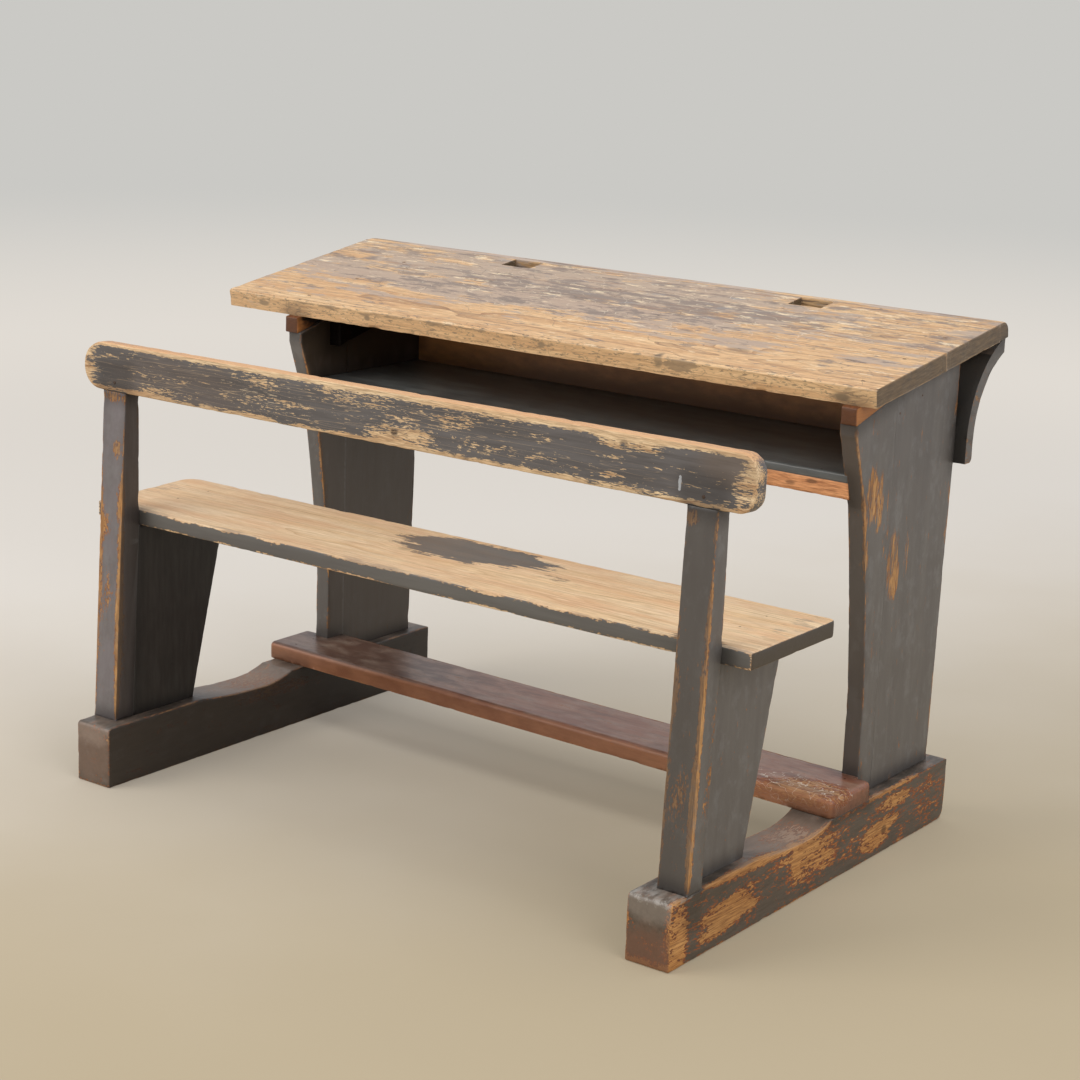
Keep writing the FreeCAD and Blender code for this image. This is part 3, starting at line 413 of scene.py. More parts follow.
def board_frame(name, along):
    """Directions of a board: along its grain, across its widest face, and into its depth.

    The depth points up, or at the sitter where the board stands upright.
    """
    widest = {}
    for face in nodes[name].data.polygons:
        normal = face.normal - along * face.normal.dot(along)
        if normal.length > 0.9:
            key = tuple(round(abs(c), 1) for c in normal)
            area, _ = widest.get(key, (0.0, None))
            widest[key] = (area + face.area, normal.normalized())
    depth = max(widest.values(), key=lambda pair: pair[0])[1]
    if depth.z < -LEVEL or (abs(depth.z) < LEVEL and depth.y > LEVEL):
        depth = -depth
    return along, depth.cross(along), depth


def near_others(name, points, reach, with_glued):
    """Distance from each point to the nearest other board, up to the reach."""
    found = np.full(len(points), reach)
    low, high = points.min(0) - reach, points.max(0) + reach
    for other, skin in skins.items():
        is_glued = (name, other) in GLUED or (other, name) in GLUED
        if other == name or (is_glued and not with_glued):
            continue
        corner_low, corner_high = (np.array(c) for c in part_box(other))
        if (corner_low > high).any() or (corner_high < low).any():
            continue
        close = ((points > corner_low - reach) & (points < corner_high + reach)).all(1)
        for i in np.nonzero(close)[0]:
            distance = skin.find_nearest(Vector(points[i]), found[i])[3]
            if distance is not None:
                found[i] = min(found[i], distance)
    return found


print("noise at the origin:", round(float(ripple(np.zeros((1, 3)), 0.05, 3)[0]), 3))

# %% [markdown]
# ## A dressed board
# Use does three things to the shape. The soft early wood sinks a little between the hard lines, a few
# tenths of a millimetre over the whole face. Free arrises are rounded further, more here and less
# there. And now and then a knock bites a piece out of one, up to 2 mm deep. Each is a noise with its
# own wave length, cut off at a level where only its peaks should tell, and their sum pushes the points
# in along their normals. The same distances then give the numbers for the finish, so paint is missing
# just where the arris is worn.

# %% Aged board
WEAR_REACH = 0.0065
DIRT_AND_SHADE_REACH = 0.030
HELD_REACH = 0.006
FACE_DEPTH = 0.00030
BITE_DEPTH = 0.0022
ROUND_DEPTH = 0.0006
SMOOTH_BELOW = math.radians(38)

# lengths of the waves in metres
HOLLOW = 0.022
WARP = (0.16, 0.06, 0.06)
BITE = 0.021
SMALL_BITE = 0.009
ROUNDING = 0.07
BARE_STRETCH = 0.055


def edge_gain(points, worn_edges):
    """How much faster than elsewhere the arrises wear at each point."""
    gain = np.ones(len(points))
    for centre, radii, more in worn_edges:
        reach = np.linalg.norm((points - np.array(centre)) / np.array(radii), axis=1)
        gain += more * falloff(reach, 0.6, 1.1)
    return gain


def worn_depth(points, grain, to_arris, seed):
    """How far use has pushed each point in."""
    hollows = 0.5 + 0.5 * ripple(grain * (0.25, 1.0, 1.0), HOLLOW, seed)
    warp = 0.5 + 0.5 * ripple(grain, WARP, seed + 5)
    bites = np.clip(ripple(points, BITE, seed + 9) - 0.22, 0, 1)
    bites += 0.6 * np.clip(ripple(points, SMALL_BITE, seed + 11) - 0.30, 0, 1)
    rounding = 0.5 + 0.5 * ripple(points, ROUNDING, seed + 13)
    at_arris = falloff(to_arris, 0.001, WEAR_REACH)
    face = FACE_DEPTH * (0.45 * hollows + 0.55 * warp)
    return face + at_arris * (BITE_DEPTH * bites + ROUND_DEPTH * rounding)


def store(data, name, kind, field, values):
    """One number or direction for each point, kept on the mesh."""
    data.attributes.new(name, kind, "POINT").data.foreach_set(field, values.ravel())


def aged_board(name, look):
    """The board as a new piece in place of its CAD node, with its numbers stored."""
    seed = look["seed"]
    along, across, deep = board_frame(name, AXES[look["along"]])
    data, samples = board_mesh(name, look.get("arris", ARRIS), along, across)
    points = np.array([v.co[:] for v in data.vertices])
    normals = np.array([v.normal[:] for v in data.vertices])
    tree = KDTree(len(samples))
    for i, sample in enumerate(samples):
        tree.insert(sample, i)
    tree.balance()
    gain = edge_gain(points, look.get("worn_edges", ()))
    to_arris = np.array([tree.find(Vector(p))[2] for p in points]) / np.sqrt(gain)
    free = 1 - falloff(near_others(name, points, HELD_REACH, True), TOUCH, HELD_REACH)
    middle = (points.max(0) + points.min(0)) / 2
    grain = (points - middle) @ np.array((along[:], across[:], deep[:])).T
    push = worn_depth(points, grain, to_arris, seed) * free
    data.vertices.foreach_set("co", (points - normals * push[:, None]).ravel())
    data.update()

    strength = (0.62 + 0.55 * ripple(points, BARE_STRETCH, seed + 17)) * gain
    wear = np.clip(falloff(to_arris, 0.0004, WEAR_REACH) * strength, 0, 1) * free
    # grime darkens the wood near other boards: dirt, and painted shade between the parts
    grime = falloff(near_others(name, points, DIRT_AND_SHADE_REACH, False), TOUCH, DIRT_AND_SHADE_REACH)
    store(data, "grain", "FLOAT_VECTOR", "vector", grain)
    store(data, "wear", "FLOAT", "value", wear)
    store(data, "grime", "FLOAT", "value", grime)
    store(data, "end_grain", "FLOAT", "value", np.abs(normals @ np.array(along[:])))
    data.shade_smooth()
    data.set_sharp_from_angle(angle=SMOOTH_BELOW)
    piece = bpy.data.objects.new("aged_" + name, data)
    bpy.context.scene.collection.objects.link(piece)
    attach(piece, "root")
    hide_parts(name)
    return piece


print("bites up to", BITE_DEPTH * 1000, "mm within", WEAR_REACH * 1000, "mm of an arris")

# %% [markdown]
# ## Zones, streaks and an empty material
# A finish is never even. Two helpers place the unevenness: a zone is a soft ellipsoid at one spot of
# the desk, for what happened just there, and a streak is noise drawn out along the grain, for what
# happened all over. Every size is a real length in metres. A zone's strength is added to the noise it
# works on, and one below zero keeps a place clean. Noise here runs from 0 to 1, and most of it lies
# between 0.35 and 0.65, so the ranges further down are cut from that middle.

# %% Zones and streaks
ZONE_OUT = 1.15
ZONE_IN = 0.45
ON_FACE = 0.03
SEED_STEP = (3.7, 1.9, 2.3)


def zone_total(tree, place, zones, rough):
    """Sum of soft zones, each a centre, radii and a strength that may be below zero."""
    total = None
    for centre, radii, strength in zones:
        moved = add(tree, "VectorMath", {"operation": "SUBTRACT"}, {0: place, 1: centre})
        scaled = add(tree, "VectorMath", TIMES, {0: moved, 1: [1 / r for r in radii]})
        reach = add(tree, "VectorMath", {"operation": "LENGTH"}, {0: scaled})
        uneven = add(tree, "Math", {}, {0: reach, 1: rough})
        inside = add(tree, "MapRange", SOFT, {0: uneven, 1: ZONE_OUT, 2: ZONE_IN, 3: 0.0, 4: strength})
        total = inside if total is None else add(tree, "Math", {}, {0: total, 1: inside})
    return total


def on_face(name, axis, end, rows):
    """Zones on a board's flat face. A row is a place and radii along the face, and a strength."""
    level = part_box(name)[end][axis]
    zones = []
    for first, second, wide, high, strength in rows:
        centre, radii = [first, second], [wide, high]
        centre.insert(axis, level)
        radii.insert(axis, ON_FACE)
        zones.append((centre, radii, strength))
    return tuple(zones)


def streaks(tree, grain, sizes, detail, seed, rough=0.6):
    """Noise from 0 to 1 whose blots have the given length, width and depth. A seed moves it along."""
    scaled = add(tree, "VectorMath", TIMES_PLUS,
                 {0: grain, 1: [1 / s for s in sizes], 2: [seed * step for step in SEED_STEP]})
    return add(tree, "TexNoise", {}, {"Vector": scaled, "Scale": 1.0, "Detail": detail, "Roughness": rough})


def start_tree(title):
    """A new material with an empty node tree."""
    material = bpy.data.materials.new(title)
    material.use_nodes = True
    material.node_tree.nodes.clear()
    return material, material.node_tree


print("a zone fades between", ZONE_IN, "and", ZONE_OUT, "of its radii")

# %% [markdown]
# ## The wood under everything
# All boards are Scots pine, sawn flat so that the faces cut the growth rings at a low angle. A ring is
# a cylinder round the pith, so its distance from a line under the board gives the pattern: pale early
# wood that darkens slowly and ends in a hard brown line of late wood. The line is tilted a little
# against the board, which draws the long pointed arches of a flat-sawn face. Real rings here are 2 to
# 3 mm wide. They are drawn 4 to 5 mm wide, as coarse as they need to be to show. Pores are finer than
# a tenth of a millimetre and are drawn 1.7 mm wide for the same reason. Round a knot the rings bend,
# which is done by adding a bump to the distance.
#
# One dictionary holds what pine is when nothing else is said. Each board's look changes some of it.

# %% Pine as it is
PINE = {
    # the wood: ring width, how much of the late-wood line shows, pores and soil in the hollows
    "ring": 0.0042, "line": 0.8, "pores": 0.5, "soil": 0.35, "soil_colour": "#8a6a4c",
    "knots": (), "films": (), "end": None,
    # the three noises: broad blots, combed streaks and small flakes, as length, width and depth
    "blot": (0.050, 0.024, 0.024), "comb": (0.040, 0.0050, 0.0050), "flake": (0.0070, 0.0026, 0.0026),
    # the paint: where it has gone, and how much each noise has to do with it
    "paint": None, "wear": 0.62, "rubs": (), "bare_up": 0.0, "level": 0.40, "under_width": 0.07,
    "blot_gain": 1.0, "comb_gain": 0.8, "flake_gain": 1.1, "sunk": 0.45, "scuffs": 0.25,
    # what lies over wood and paint alike
    "marks": (), "scratches": (), "tints": (), "grime": 0.5, "dust": 0.0, "dust_colour": "#a9998a",
    # planed pine is matt, oil paint is silky; both reflect about as much as any varnish
    "rough_wood": 0.7, "rough_paint": 0.45, "sheen": 0.5, "relief": 0.5,
}
PITH = (0.0, 0.03, 0.07)
TILT = (0.0, 0.02, 0.012)
SWAY = (0.300, 0.060, 0.060)
LATE_WOOD_SHARP = 3.0
PORE_COLOUR = "#7a5a3c"
KNOT_COLOUR = "#2b1a10"


def ring_lines(tree, grain, place, look):
    """Late-wood lines from 0 to 1, and the dark cores of the knots that bend them."""
    turned = add(tree, "Mapping", {"vector_type": "POINT"},
                 {"Vector": grain, "Location": PITH, "Rotation": TILT})
    sway = streaks(tree, grain, SWAY, 2.0, look["seed"] + 4).outputs["Color"]
    swayed = add(tree, "VectorMath", TIMES_PLUS, {0: sway, 1: (0.0, 0.020, 0.020), 2: turned})
    cross = add(tree, "VectorMath", TIMES, {0: swayed, 1: (0.0, 1.0, 1.0)})
    distance = add(tree, "VectorMath", {"operation": "LENGTH"}, {0: cross})
    core = None
    for centre, size, strength in look["knots"]:
        moved = add(tree, "VectorMath", {"operation": "SUBTRACT"}, {0: place, 1: centre})
        scaled = add(tree, "VectorMath", TIMES, {0: moved, 1: [1 / s for s in size]})
        reach = add(tree, "VectorMath", {"operation": "LENGTH"}, {0: scaled})
        bump = add(tree, "MapRange", SOFT, {0: reach, 1: 5.0, 2: 0.0, 3: 0.0, 4: 0.6 * size[0]})
        distance = add(tree, "Math", {}, {0: distance, 1: bump})
        spot = add(tree, "MapRange", SOFT, {0: reach, 1: 1.3, 2: 0.6, 3: 0.0, 4: strength})
        core = spot if core is None else add(tree, "Math", {"operation": "MAXIMUM"}, {0: core, 1: spot})
    ring = add(tree, "Math", {"operation": "DIVIDE"}, {0: distance, 1: look["ring"]})
    within = add(tree, "Math", {"operation": "FRACT"}, {0: ring})
    late = add(tree, "Math", {"operation": "POWER"}, {0: within, 1: LATE_WOOD_SHARP})
    count = add(tree, "Math", {"operation": "FLOOR"}, {0: ring})
    chance = add(tree, "TexWhiteNoise", {"noise_dimensions": "1D"}, {"W": count})
    faint = add(tree, "MapRange", {}, {0: chance, 1: 0.0, 2: 1.0, 3: 0.15, 4: 1.0})
    line = add(tree, "Math", TIMES, {0: late, 1: faint})
    return add(tree, "Math", TIMES, {0: line, 1: look["line"]}), core


def bare_wood(tree, look, line, noises):
    """Colour of the pine itself: early and late wood, pores and soil."""
    mellow = add(tree, "MapRange", {}, {0: noises["broad"], 1: 0.35, 2: 0.65})
    early = add(tree, "Mix", COVER, {0: mellow, 6: linear(look["early"]), 7: linear(look["mellow"])})
    wood = add(tree, "Mix", COVER, {0: line, 6: early, 7: linear(look["late"])})
    pores = add(tree, "MapRange", {}, {0: noises["fibres"], 1: 0.58, 2: 0.34, 3: 0.0, 4: look["pores"]})
    wood = add(tree, "Mix", STAIN, {0: pores, 6: wood, 7: linear(PORE_COLOUR)})
    soiled = add(tree, "MapRange", {}, {0: noises["combed"], 1: 0.54, 2: 0.34, 3: 0.0, 4: look["soil"]})
    return add(tree, "Mix", STAIN, {0: soiled, 6: wood, 7: linear(look["soil_colour"])})


print("rings are drawn", PINE["ring"] * 1000, "mm wide where a look says nothing else")

# %% [markdown]
# ## Films, scratches and sawn ends
# Over the wood lie films, each thin and patchy: ink, residue, stains, chalk. A film is a streak noise
# cut off at a level, which gives it a torn outline, and a zone can raise or lower that level in one
# place. A scratch is a line where a slow noise passes its middle value, so it wanders like one that a
# nail was dragged along. On sawn ends the fibres stand like a brush and drink in dirt, so they are
# dark, with the rings as fine layers.

# %% Films
FILM_DETAIL = 7.0
FILM_ROUGH = 0.7
LAYERS = (0.050, 0.024, 0.0020)


def lay_films(tree, layers, wood, films, seed):
    """Thin patchy layers: colour, blot sizes, level, softness, cover and zones."""
    for number, (colour, sizes, level, soft, cover, zones) in enumerate(films):
        amount = streaks(tree, layers["grain"], sizes, FILM_DETAIL, seed + 31 + number, FILM_ROUGH)
        zone = zone_total(tree, layers["place"], zones, layers["uneven"])
        if zone is not None:
            amount = add(tree, "Math", {}, {0: amount, 1: zone})
        mask = add(tree, "MapRange", SOFT, {0: amount, 1: level - soft, 2: level + soft, 3: 0.0, 4: cover})
        wood = add(tree, "Mix", COVER, {0: mask, 6: wood, 7: linear(colour)})
    return wood


def draw_scratches(tree, layers, wood, scratches, seed):
    """Thin wandering lines: colour, size of their waves, width, cover and zones."""
    for number, (colour, size, width, cover, zones) in enumerate(scratches):
        moved = add(tree, "VectorMath", TIMES_PLUS,
                    {0: layers["place"], 1: [1 / v for v in size], 2: (seed + number * 5.3,) * 3})
        wander = add(tree, "TexNoise", {}, {"Vector": moved, "Scale": 1.0, "Detail": 1.5, "Roughness": 0.5})
        centred = add(tree, "Math", {"operation": "SUBTRACT"}, {0: wander, 1: 0.5})
        side = add(tree, "Math", {"operation": "ABSOLUTE"}, {0: centred})
        mask = add(tree, "MapRange", SOFT, {0: side, 1: width, 2: width * 0.4, 3: 0.0, 4: cover})
        zone = zone_total(tree, layers["place"], zones, layers["uneven"])
        if zone is not None:
            mask = add(tree, "Math", TIMES_AT_MOST_1, {0: mask, 1: zone})
        wood = add(tree, "Mix", COVER, {0: mask, 6: wood, 7: linear(colour)})
    return wood


def sawn_ends(tree, layers, wood, look):
    """Dark layered end grain where the board was sawn across."""
    dark, pale, amount = look["end"]
    stopped = add(tree, "MapRange", {}, {0: layers["sawn"], 1: 0.5, 2: 0.85, 3: 0.0, 4: amount})
    layered = streaks(tree, layers["grain"], LAYERS, 4.0, look["seed"] + 8)
    slit = add(tree, "MapRange", {}, {0: layered, 1: 0.38, 2: 0.62})
    ends = add(tree, "Mix", COVER, {0: slit, 6: linear(dark), 7: linear(pale)})
    return add(tree, "Mix", COVER, {0: stopped, 6: wood, 7: ends})


print("end grain is drawn in layers of", LAYERS[2] * 1000, "mm")

# %% [markdown]
# ## Old paint
# Linseed oil paint goes brittle and lets go of the wood. Where the loss of paint passes a level, it is
# gone: first a red-brown undercoat shows, then the bare wood. The loss adds up the worn arrises, the
# rubbed places and three noises of different size, so every edge is frayed the way old paint chips
# along the grain. Paint that is still there is darker where it sank into the soft wood, and has pale
# scuffs on the high fibres.

# %% Paint over pine
EDGE_SOFT = 0.012
BARE_BEFORE = 0.02
BARE_AFTER = 0.04


def paint_loss(tree, look, layers, flakes):
    """How far the paint has gone at each point, from wear, rubbed places and the three noises."""
    loss = add(tree, "Math", TIMES, {0: layers["wear"], 1: look["wear"]})
    rubbed = zone_total(tree, layers["place"], look["rubs"], layers["uneven"])
    if rubbed is not None:
        loss = add(tree, "Math", {}, {0: loss, 1: rubbed})
    if look["bare_up"]:
        top = add(tree, "MapRange", {}, {0: layers["up"], 1: 0.75, 2: 0.97, 3: 0.0, 4: look["bare_up"]})
        loss = add(tree, "Math", {}, {0: loss, 1: top})
    gains = ((layers["blots"], "blot_gain"), (layers["combed"], "comb_gain"), (flakes, "flake_gain"))
    for field, gain in gains:
        centred = add(tree, "Math", {"operation": "SUBTRACT"}, {0: field, 1: 0.5})
        loss = add(tree, "Math", TIMES_PLUS, {0: centred, 1: look[gain], 2: loss})
    return loss


def lay_paint(tree, look, under, layers):
    """Old paint over the wood. Gives the colour and where the paint is gone, from 0 to 1."""
    flakes = streaks(tree, layers["grain"], look["flake"], 4.0, look["seed"] + 21)
    loss = paint_loss(tree, look, layers, flakes)
    bared = look["level"]
    chipped = bared - look["under_width"]
    gone = add(tree, "MapRange", SOFT, {0: loss, 1: chipped - EDGE_SOFT, 2: chipped + EDGE_SOFT})
    bare = add(tree, "MapRange", SOFT, {0: loss, 1: bared - BARE_BEFORE, 2: bared + BARE_AFTER})
    fresh, faded, sunken, scuffed = (linear(colour) for colour in look["paint"])
    tone = add(tree, "MapRange", {}, {0: layers["broad"], 1: 0.36, 2: 0.64})
    coat = add(tree, "Mix", COVER, {0: tone, 6: fresh, 7: faded})
    sunk = add(tree, "MapRange", {}, {0: layers["combed"], 1: 0.56, 2: 0.34, 3: 0.0, 4: look["sunk"]})
    coat = add(tree, "Mix", COVER, {0: sunk, 6: coat, 7: sunken})
    scuffs = add(tree, "MapRange", {}, {0: layers["fibres"], 1: 0.62, 2: 0.74, 3: 0.0, 4: look["scuffs"]})
    coat = add(tree, "Mix", COVER, {0: scuffs, 6: coat, 7: scuffed})
    primer = add(tree, "MapRange", {}, {0: flakes, 1: 0.42, 2: 0.58})
    dark, pale = (linear(colour) for colour in look["under"])
    undercoat = add(tree, "Mix", COVER, {0: primer, 6: dark, 7: pale})
    shown = add(tree, "Mix", COVER, {0: bare, 6: undercoat, 7: under})
    return add(tree, "Mix", COVER, {0: gone, 6: coat, 7: shown}), gone


print("a chipped edge of paint is", 2 * EDGE_SOFT, "of the noise wide")

# %% [markdown]
# ## Colour that knows up from down
# Some colour depends on where a face looks. Faces turned to the sitter are soiled in places, ends are
# weathered, tops are polished or dusty, and some faces are painted darker and others lighter, as
# painted shade and painted light. Such a tint is mixed in by the angle between the face and a
# direction. Soot gathers near joints and painted shade falls there, which the stored "grime"
# gives, and dust lies in drifts on what faces up.

# %% Tints, painted shade, dirt and dust
# the dark brown of dirt and of painted shade near joints
DIRT_AND_SHADE_COLOUR = "#4a3c30"


def turned_tints(tree, layers, wood, tints):
    """Faces that look one way get a colour: dirt, bare wood, painted shade and painted light, each given as
    direction, zones, colour and amount.
    """
    patchy = add(tree, "MapRange", {}, {0: layers["combed"], 1: 0.35, 2: 0.60, 3: 0.93, 4: 1.04})
    for direction, zones, colour, amount in tints:
        toward = add(tree, "VectorMath", {"operation": "DOT_PRODUCT"}, {0: layers["normal"], 1: direction})
        mask = add(tree, "MapRange", {}, {0: toward, 1: 0.55, 2: 0.85, 3: 0.0, 4: amount})
        mask = add(tree, "Math", TIMES_AT_MOST_1, {0: mask, 1: patchy})
        zone = zone_total(tree, layers["place"], zones, layers["fray"])
        if zone is not None:
            mask = add(tree, "Math", TIMES_AT_MOST_1, {0: mask, 1: zone})
        wood = add(tree, "Mix", COVER, {0: mask, 6: wood, 7: linear(colour)})
    return wood


def dirt_shade_and_dust(tree, layers, wood, look):
    """Dirt and painted shade near joints, and drifts of dust on faces that look up."""
    soot_and_shade = add(tree, "Math", TIMES, {0: layers["grime"], 1: look["grime"]})
    wood = add(tree, "Mix", STAIN, {0: soot_and_shade, 6: wood, 7: linear(DIRT_AND_SHADE_COLOUR)})
    lying = add(tree, "MapRange", {}, {0: layers["up"], 1: 0.6, 2: 1.0, 3: 0.0, 4: look["dust"]})
    drift = add(tree, "MapRange", {}, {0: layers["blots"], 1: 0.42, 2: 0.66})
    dust = add(tree, "Math", TIMES, {0: lying, 1: drift})
    return add(tree, "Mix", COVER, {0: dust, 6: wood, 7: linear(look["dust_colour"])})


print("tints start where a face turns within", round(math.degrees(math.acos(0.55))), "degrees")

# %% [markdown]
# ## One material for a board
# The layers go on in the order of the board's life: wood, stains in it, knots, sawn ends, paint, marks
# on the paint, scratches, and then the dirt of all the years. Roughness and relief follow the same
# masks, since a chip shows as much by its edge in the light as by its colour. Wood and paint both have
# the index of refraction of resin and oil, 1.5.

# %% Old pine
RESIN_IOR = 1.5
FRAY = 0.55
FIBRES = (0.022, 0.0017, 0.0017)
BROAD = (0.300, 0.024, 0.024)
RELIEF_DEPTH = 0.0007


def surface_layers(tree, look):
    """What the finish reads: stored numbers, the face's direction and the noises."""
    stored = {name: add(tree, "Attribute", {"attribute_name": name}, {}).outputs for name in
              ("grain", "wear", "grime", "end_grain")}
    grain = stored["grain"]["Vector"]
    normal = add(tree, "NewGeometry", {}, {}).outputs["True Normal"]
    seed = look["seed"]
    layers = {
        "grain": grain, "normal": normal, "wear": stored["wear"]["Fac"], "grime": stored["grime"]["Fac"],
        "sawn": stored["end_grain"]["Fac"], "place": add(tree, "TexCoord", {}, {}).outputs["Object"],
        "up": add(tree, "SeparateXYZ", {}, {0: normal}).outputs["Z"],
        "blots": streaks(tree, grain, look["blot"], 6.0, seed),
        "combed": streaks(tree, grain, look["comb"], 4.0, seed + 1),
        "fibres": streaks(tree, grain, FIBRES, 3.0, seed + 2),
        "broad": streaks(tree, grain, BROAD, 4.0, seed + 3),
    }
    layers["fray"] = add(tree, "Math", TIMES_PLUS, {0: layers["blots"], 1: 2 * FRAY, 2: -FRAY})
    combed = add(tree, "Math", TIMES_PLUS, {0: layers["combed"], 1: 2 * FRAY, 2: -FRAY})
    layers["uneven"] = add(tree, "Math", {}, {0: combed, 1: layers["fray"]})
    return layers


def old_pine(title, look):
    """Flat-sawn pine with the films and paint that the look names, as one material."""
    material, tree = start_tree(title)
    layers = surface_layers(tree, look)
    seed = look["seed"]
    line, core = ring_lines(tree, layers["grain"], layers["place"], look)
    wood = bare_wood(tree, look, line, layers)
    wood = lay_films(tree, layers, wood, look["films"], seed)
    if core is not None:
        wood = add(tree, "Mix", COVER, {0: core, 6: wood, 7: linear(KNOT_COLOUR)})
    if look["end"]:
        wood = sawn_ends(tree, layers, wood, look)
    height = add(tree, "Math", TIMES_PLUS, {0: line, 1: 0.5, 2: layers["fibres"]})
    rough = look["rough_wood"]
    if look["paint"]:
        wood, gone = lay_paint(tree, look, wood, layers)
        skin = add(tree, "Math", TIMES_PLUS, {0: gone, 1: -1.2, 2: layers["combed"]})
        height = add(tree, "Math", TIMES_PLUS, {0: height, 1: 0.45, 2: skin})
        rough = add(tree, "MapRange", {}, {0: gone, 1: 0.0, 2: 1.0, 3: look["rough_paint"], 4: rough})
    wood = lay_films(tree, layers, wood, look["marks"], seed + 50)
    wood = draw_scratches(tree, layers, wood, look["scratches"], seed)
    wood = turned_tints(tree, layers, wood, look["tints"])
    wood = dirt_shade_and_dust(tree, layers, wood, look)

    relief = add(tree, "Bump", {}, {"Strength": look["relief"], "Distance": RELIEF_DEPTH, "Height": height})
    shader = add(tree, "BsdfPrincipled", {}, {
        "Base Color": wood, "Normal": relief, "Roughness": rough,
        "IOR": RESIN_IOR, "Specular IOR Level": look["sheen"],
    })
    add(tree, "OutputMaterial", {}, {"Surface": shader})
    return material


print("the paint's relief is", RELIEF_DEPTH * 1000, "mm deep")

# %% [markdown]
# ## Grey oil paint on pine
# Most of the desk was painted once with grey linseed oil paint, put on with a brush. It gives the eye a
# dull, slightly brown grey with faint brush lines, specks of dirt and a few pale knocks, and orange
# wood in thin lines along the arrises. Low down it is dirtier, browner and chipped by shoes, and there
# the red-brown undercoat shows at every chip.
#
# Each board's look is a dictionary that starts from one of these and changes what is different there.
# It also holds a slot name, which nothing in this script reads.

# %% Grey paint
# each mark: colour, length, width and depth of its blots, level, softness, cover and zones
DIRT_BLOTS = ("#5a534e", (0.070, 0.040, 0.040), 0.54, 0.09, 0.35, ())
CHALKY_BLOTS = ("#7d7b79", (0.034, 0.024, 0.024), 0.58, 0.08, 0.35, ())
DARK_SPECKS = ("#332c26", (0.0030, 0.0026, 0.0026), 0.730, 0.012, 0.75, ())
DRY_SPLITS = ("#3b332d", (0.1100, 0.0026, 0.0026), 0.690, 0.020, 0.60, ())
BROWN_CHIPS = ("#6b4126", (0.0050, 0.0040, 0.0040), 0.725, 0.012, 0.85, ())
PALE_KNOCKS = ("#b3aca4", (0.0040, 0.0040, 0.0040), 0.755, 0.010, 0.70, ())
SPECKS = (DARK_SPECKS, DRY_SPLITS, BROWN_CHIPS, PALE_KNOCKS)

GREY_PAINT = dict(
    PINE, finish="brushed_grey_oil_paint_on_pine", slot="worn_grey_paint",
    early="#cb9b62", mellow="#bf8a50", late="#8a5526",
    paint=("#69645f", "#605b57", "#504a45", "#827e7a"), under=("#6e3d22", "#9a6234"),
    rough_wood=0.65, rough_paint=0.42, blot_gain=0.9, marks=(DIRT_BLOTS, CHALKY_BLOTS) + SPECKS,
    comb=(0.060, 0.0090, 0.0090), sunk=0.14, scuffs=0.08, relief=0.25,
)
LOW_PAINT = dict(
    GREY_PAINT, finish="grey_oil_paint_kicked_off_pine",
    paint=("#60554a", "#54493e", "#3f342a", "#83766a"), under=("#6a371e", "#93522a"),
    flake=(0.0090, 0.0030, 0.0026), flake_gain=1.4, comb=(0.040, 0.0050, 0.0050), sunk=0.40,
    dust=0.6, dust_colour="#8f7d6f", arris=0.003, under_width=0.14, level=0.42, blot_gain=1.25,
)
looks = {}
print("marks on the grey paint:", len(GREY_PAINT["marks"]))

# %% [markdown]
# ## The runners
# Two heavy beams lie on the floor. Shoes have hollowed their tops between bench and desk, where dust
# now lies, and scraped the paint off the upper arrises. The right one's outer side is bare in patches,
# because it stood by the aisle. The patches are placed one by one, because they are what one knows
# this desk by, and noise only frays their outlines.

# %% Runners
HOLLOW_DUST = ("#a89585", (0.060, 0.0050, 0.0050), 0.90, 0.10, 0.80, (
    ((-0.475, -0.08, 0.072), (0.037, 0.16, 0.030), 0.55),
    ((0.554, -0.08, 0.072), (0.037, 0.16, 0.030), 0.55),
))
WHITE_SCUFFS = ("#b9b5ae", (0.024, 0.010, 0.010), 0.74, 0.10, 0.62, (
    ((0.556, -0.405, 0.096), (0.060, 0.05, 0.012), 0.25),
))
looks["left_runner"] = dict(
    LOW_PAINT, seed=1, along="Y", films=(HOLLOW_DUST,),
    rubs=(((-0.475, -0.05, 0.072), (0.06, 0.16, 0.02), 0.50),),
    tints=(
        # the inner side, under bench and desk, drawn nearly black: dirt and painted shade
        ((1, 0, 0), (), "#2a2118", 0.88),
        ((0, -1, 0), (((-0.475, -0.427, 0.05), (0.06, 0.02, 0.06), 1.2),), "#7d6353", 0.50),
        ((0, -1, 0), (((-0.475, -0.427, 0.085), (0.05, 0.02, 0.022), 1.0),), "#a08c7e", 0.45),
        ((0, 0, 1), (((-0.475, -0.08, 0.075), (0.08, 0.14, 0.03), 1.2),), "#8d7768", 0.45),
    ),
)
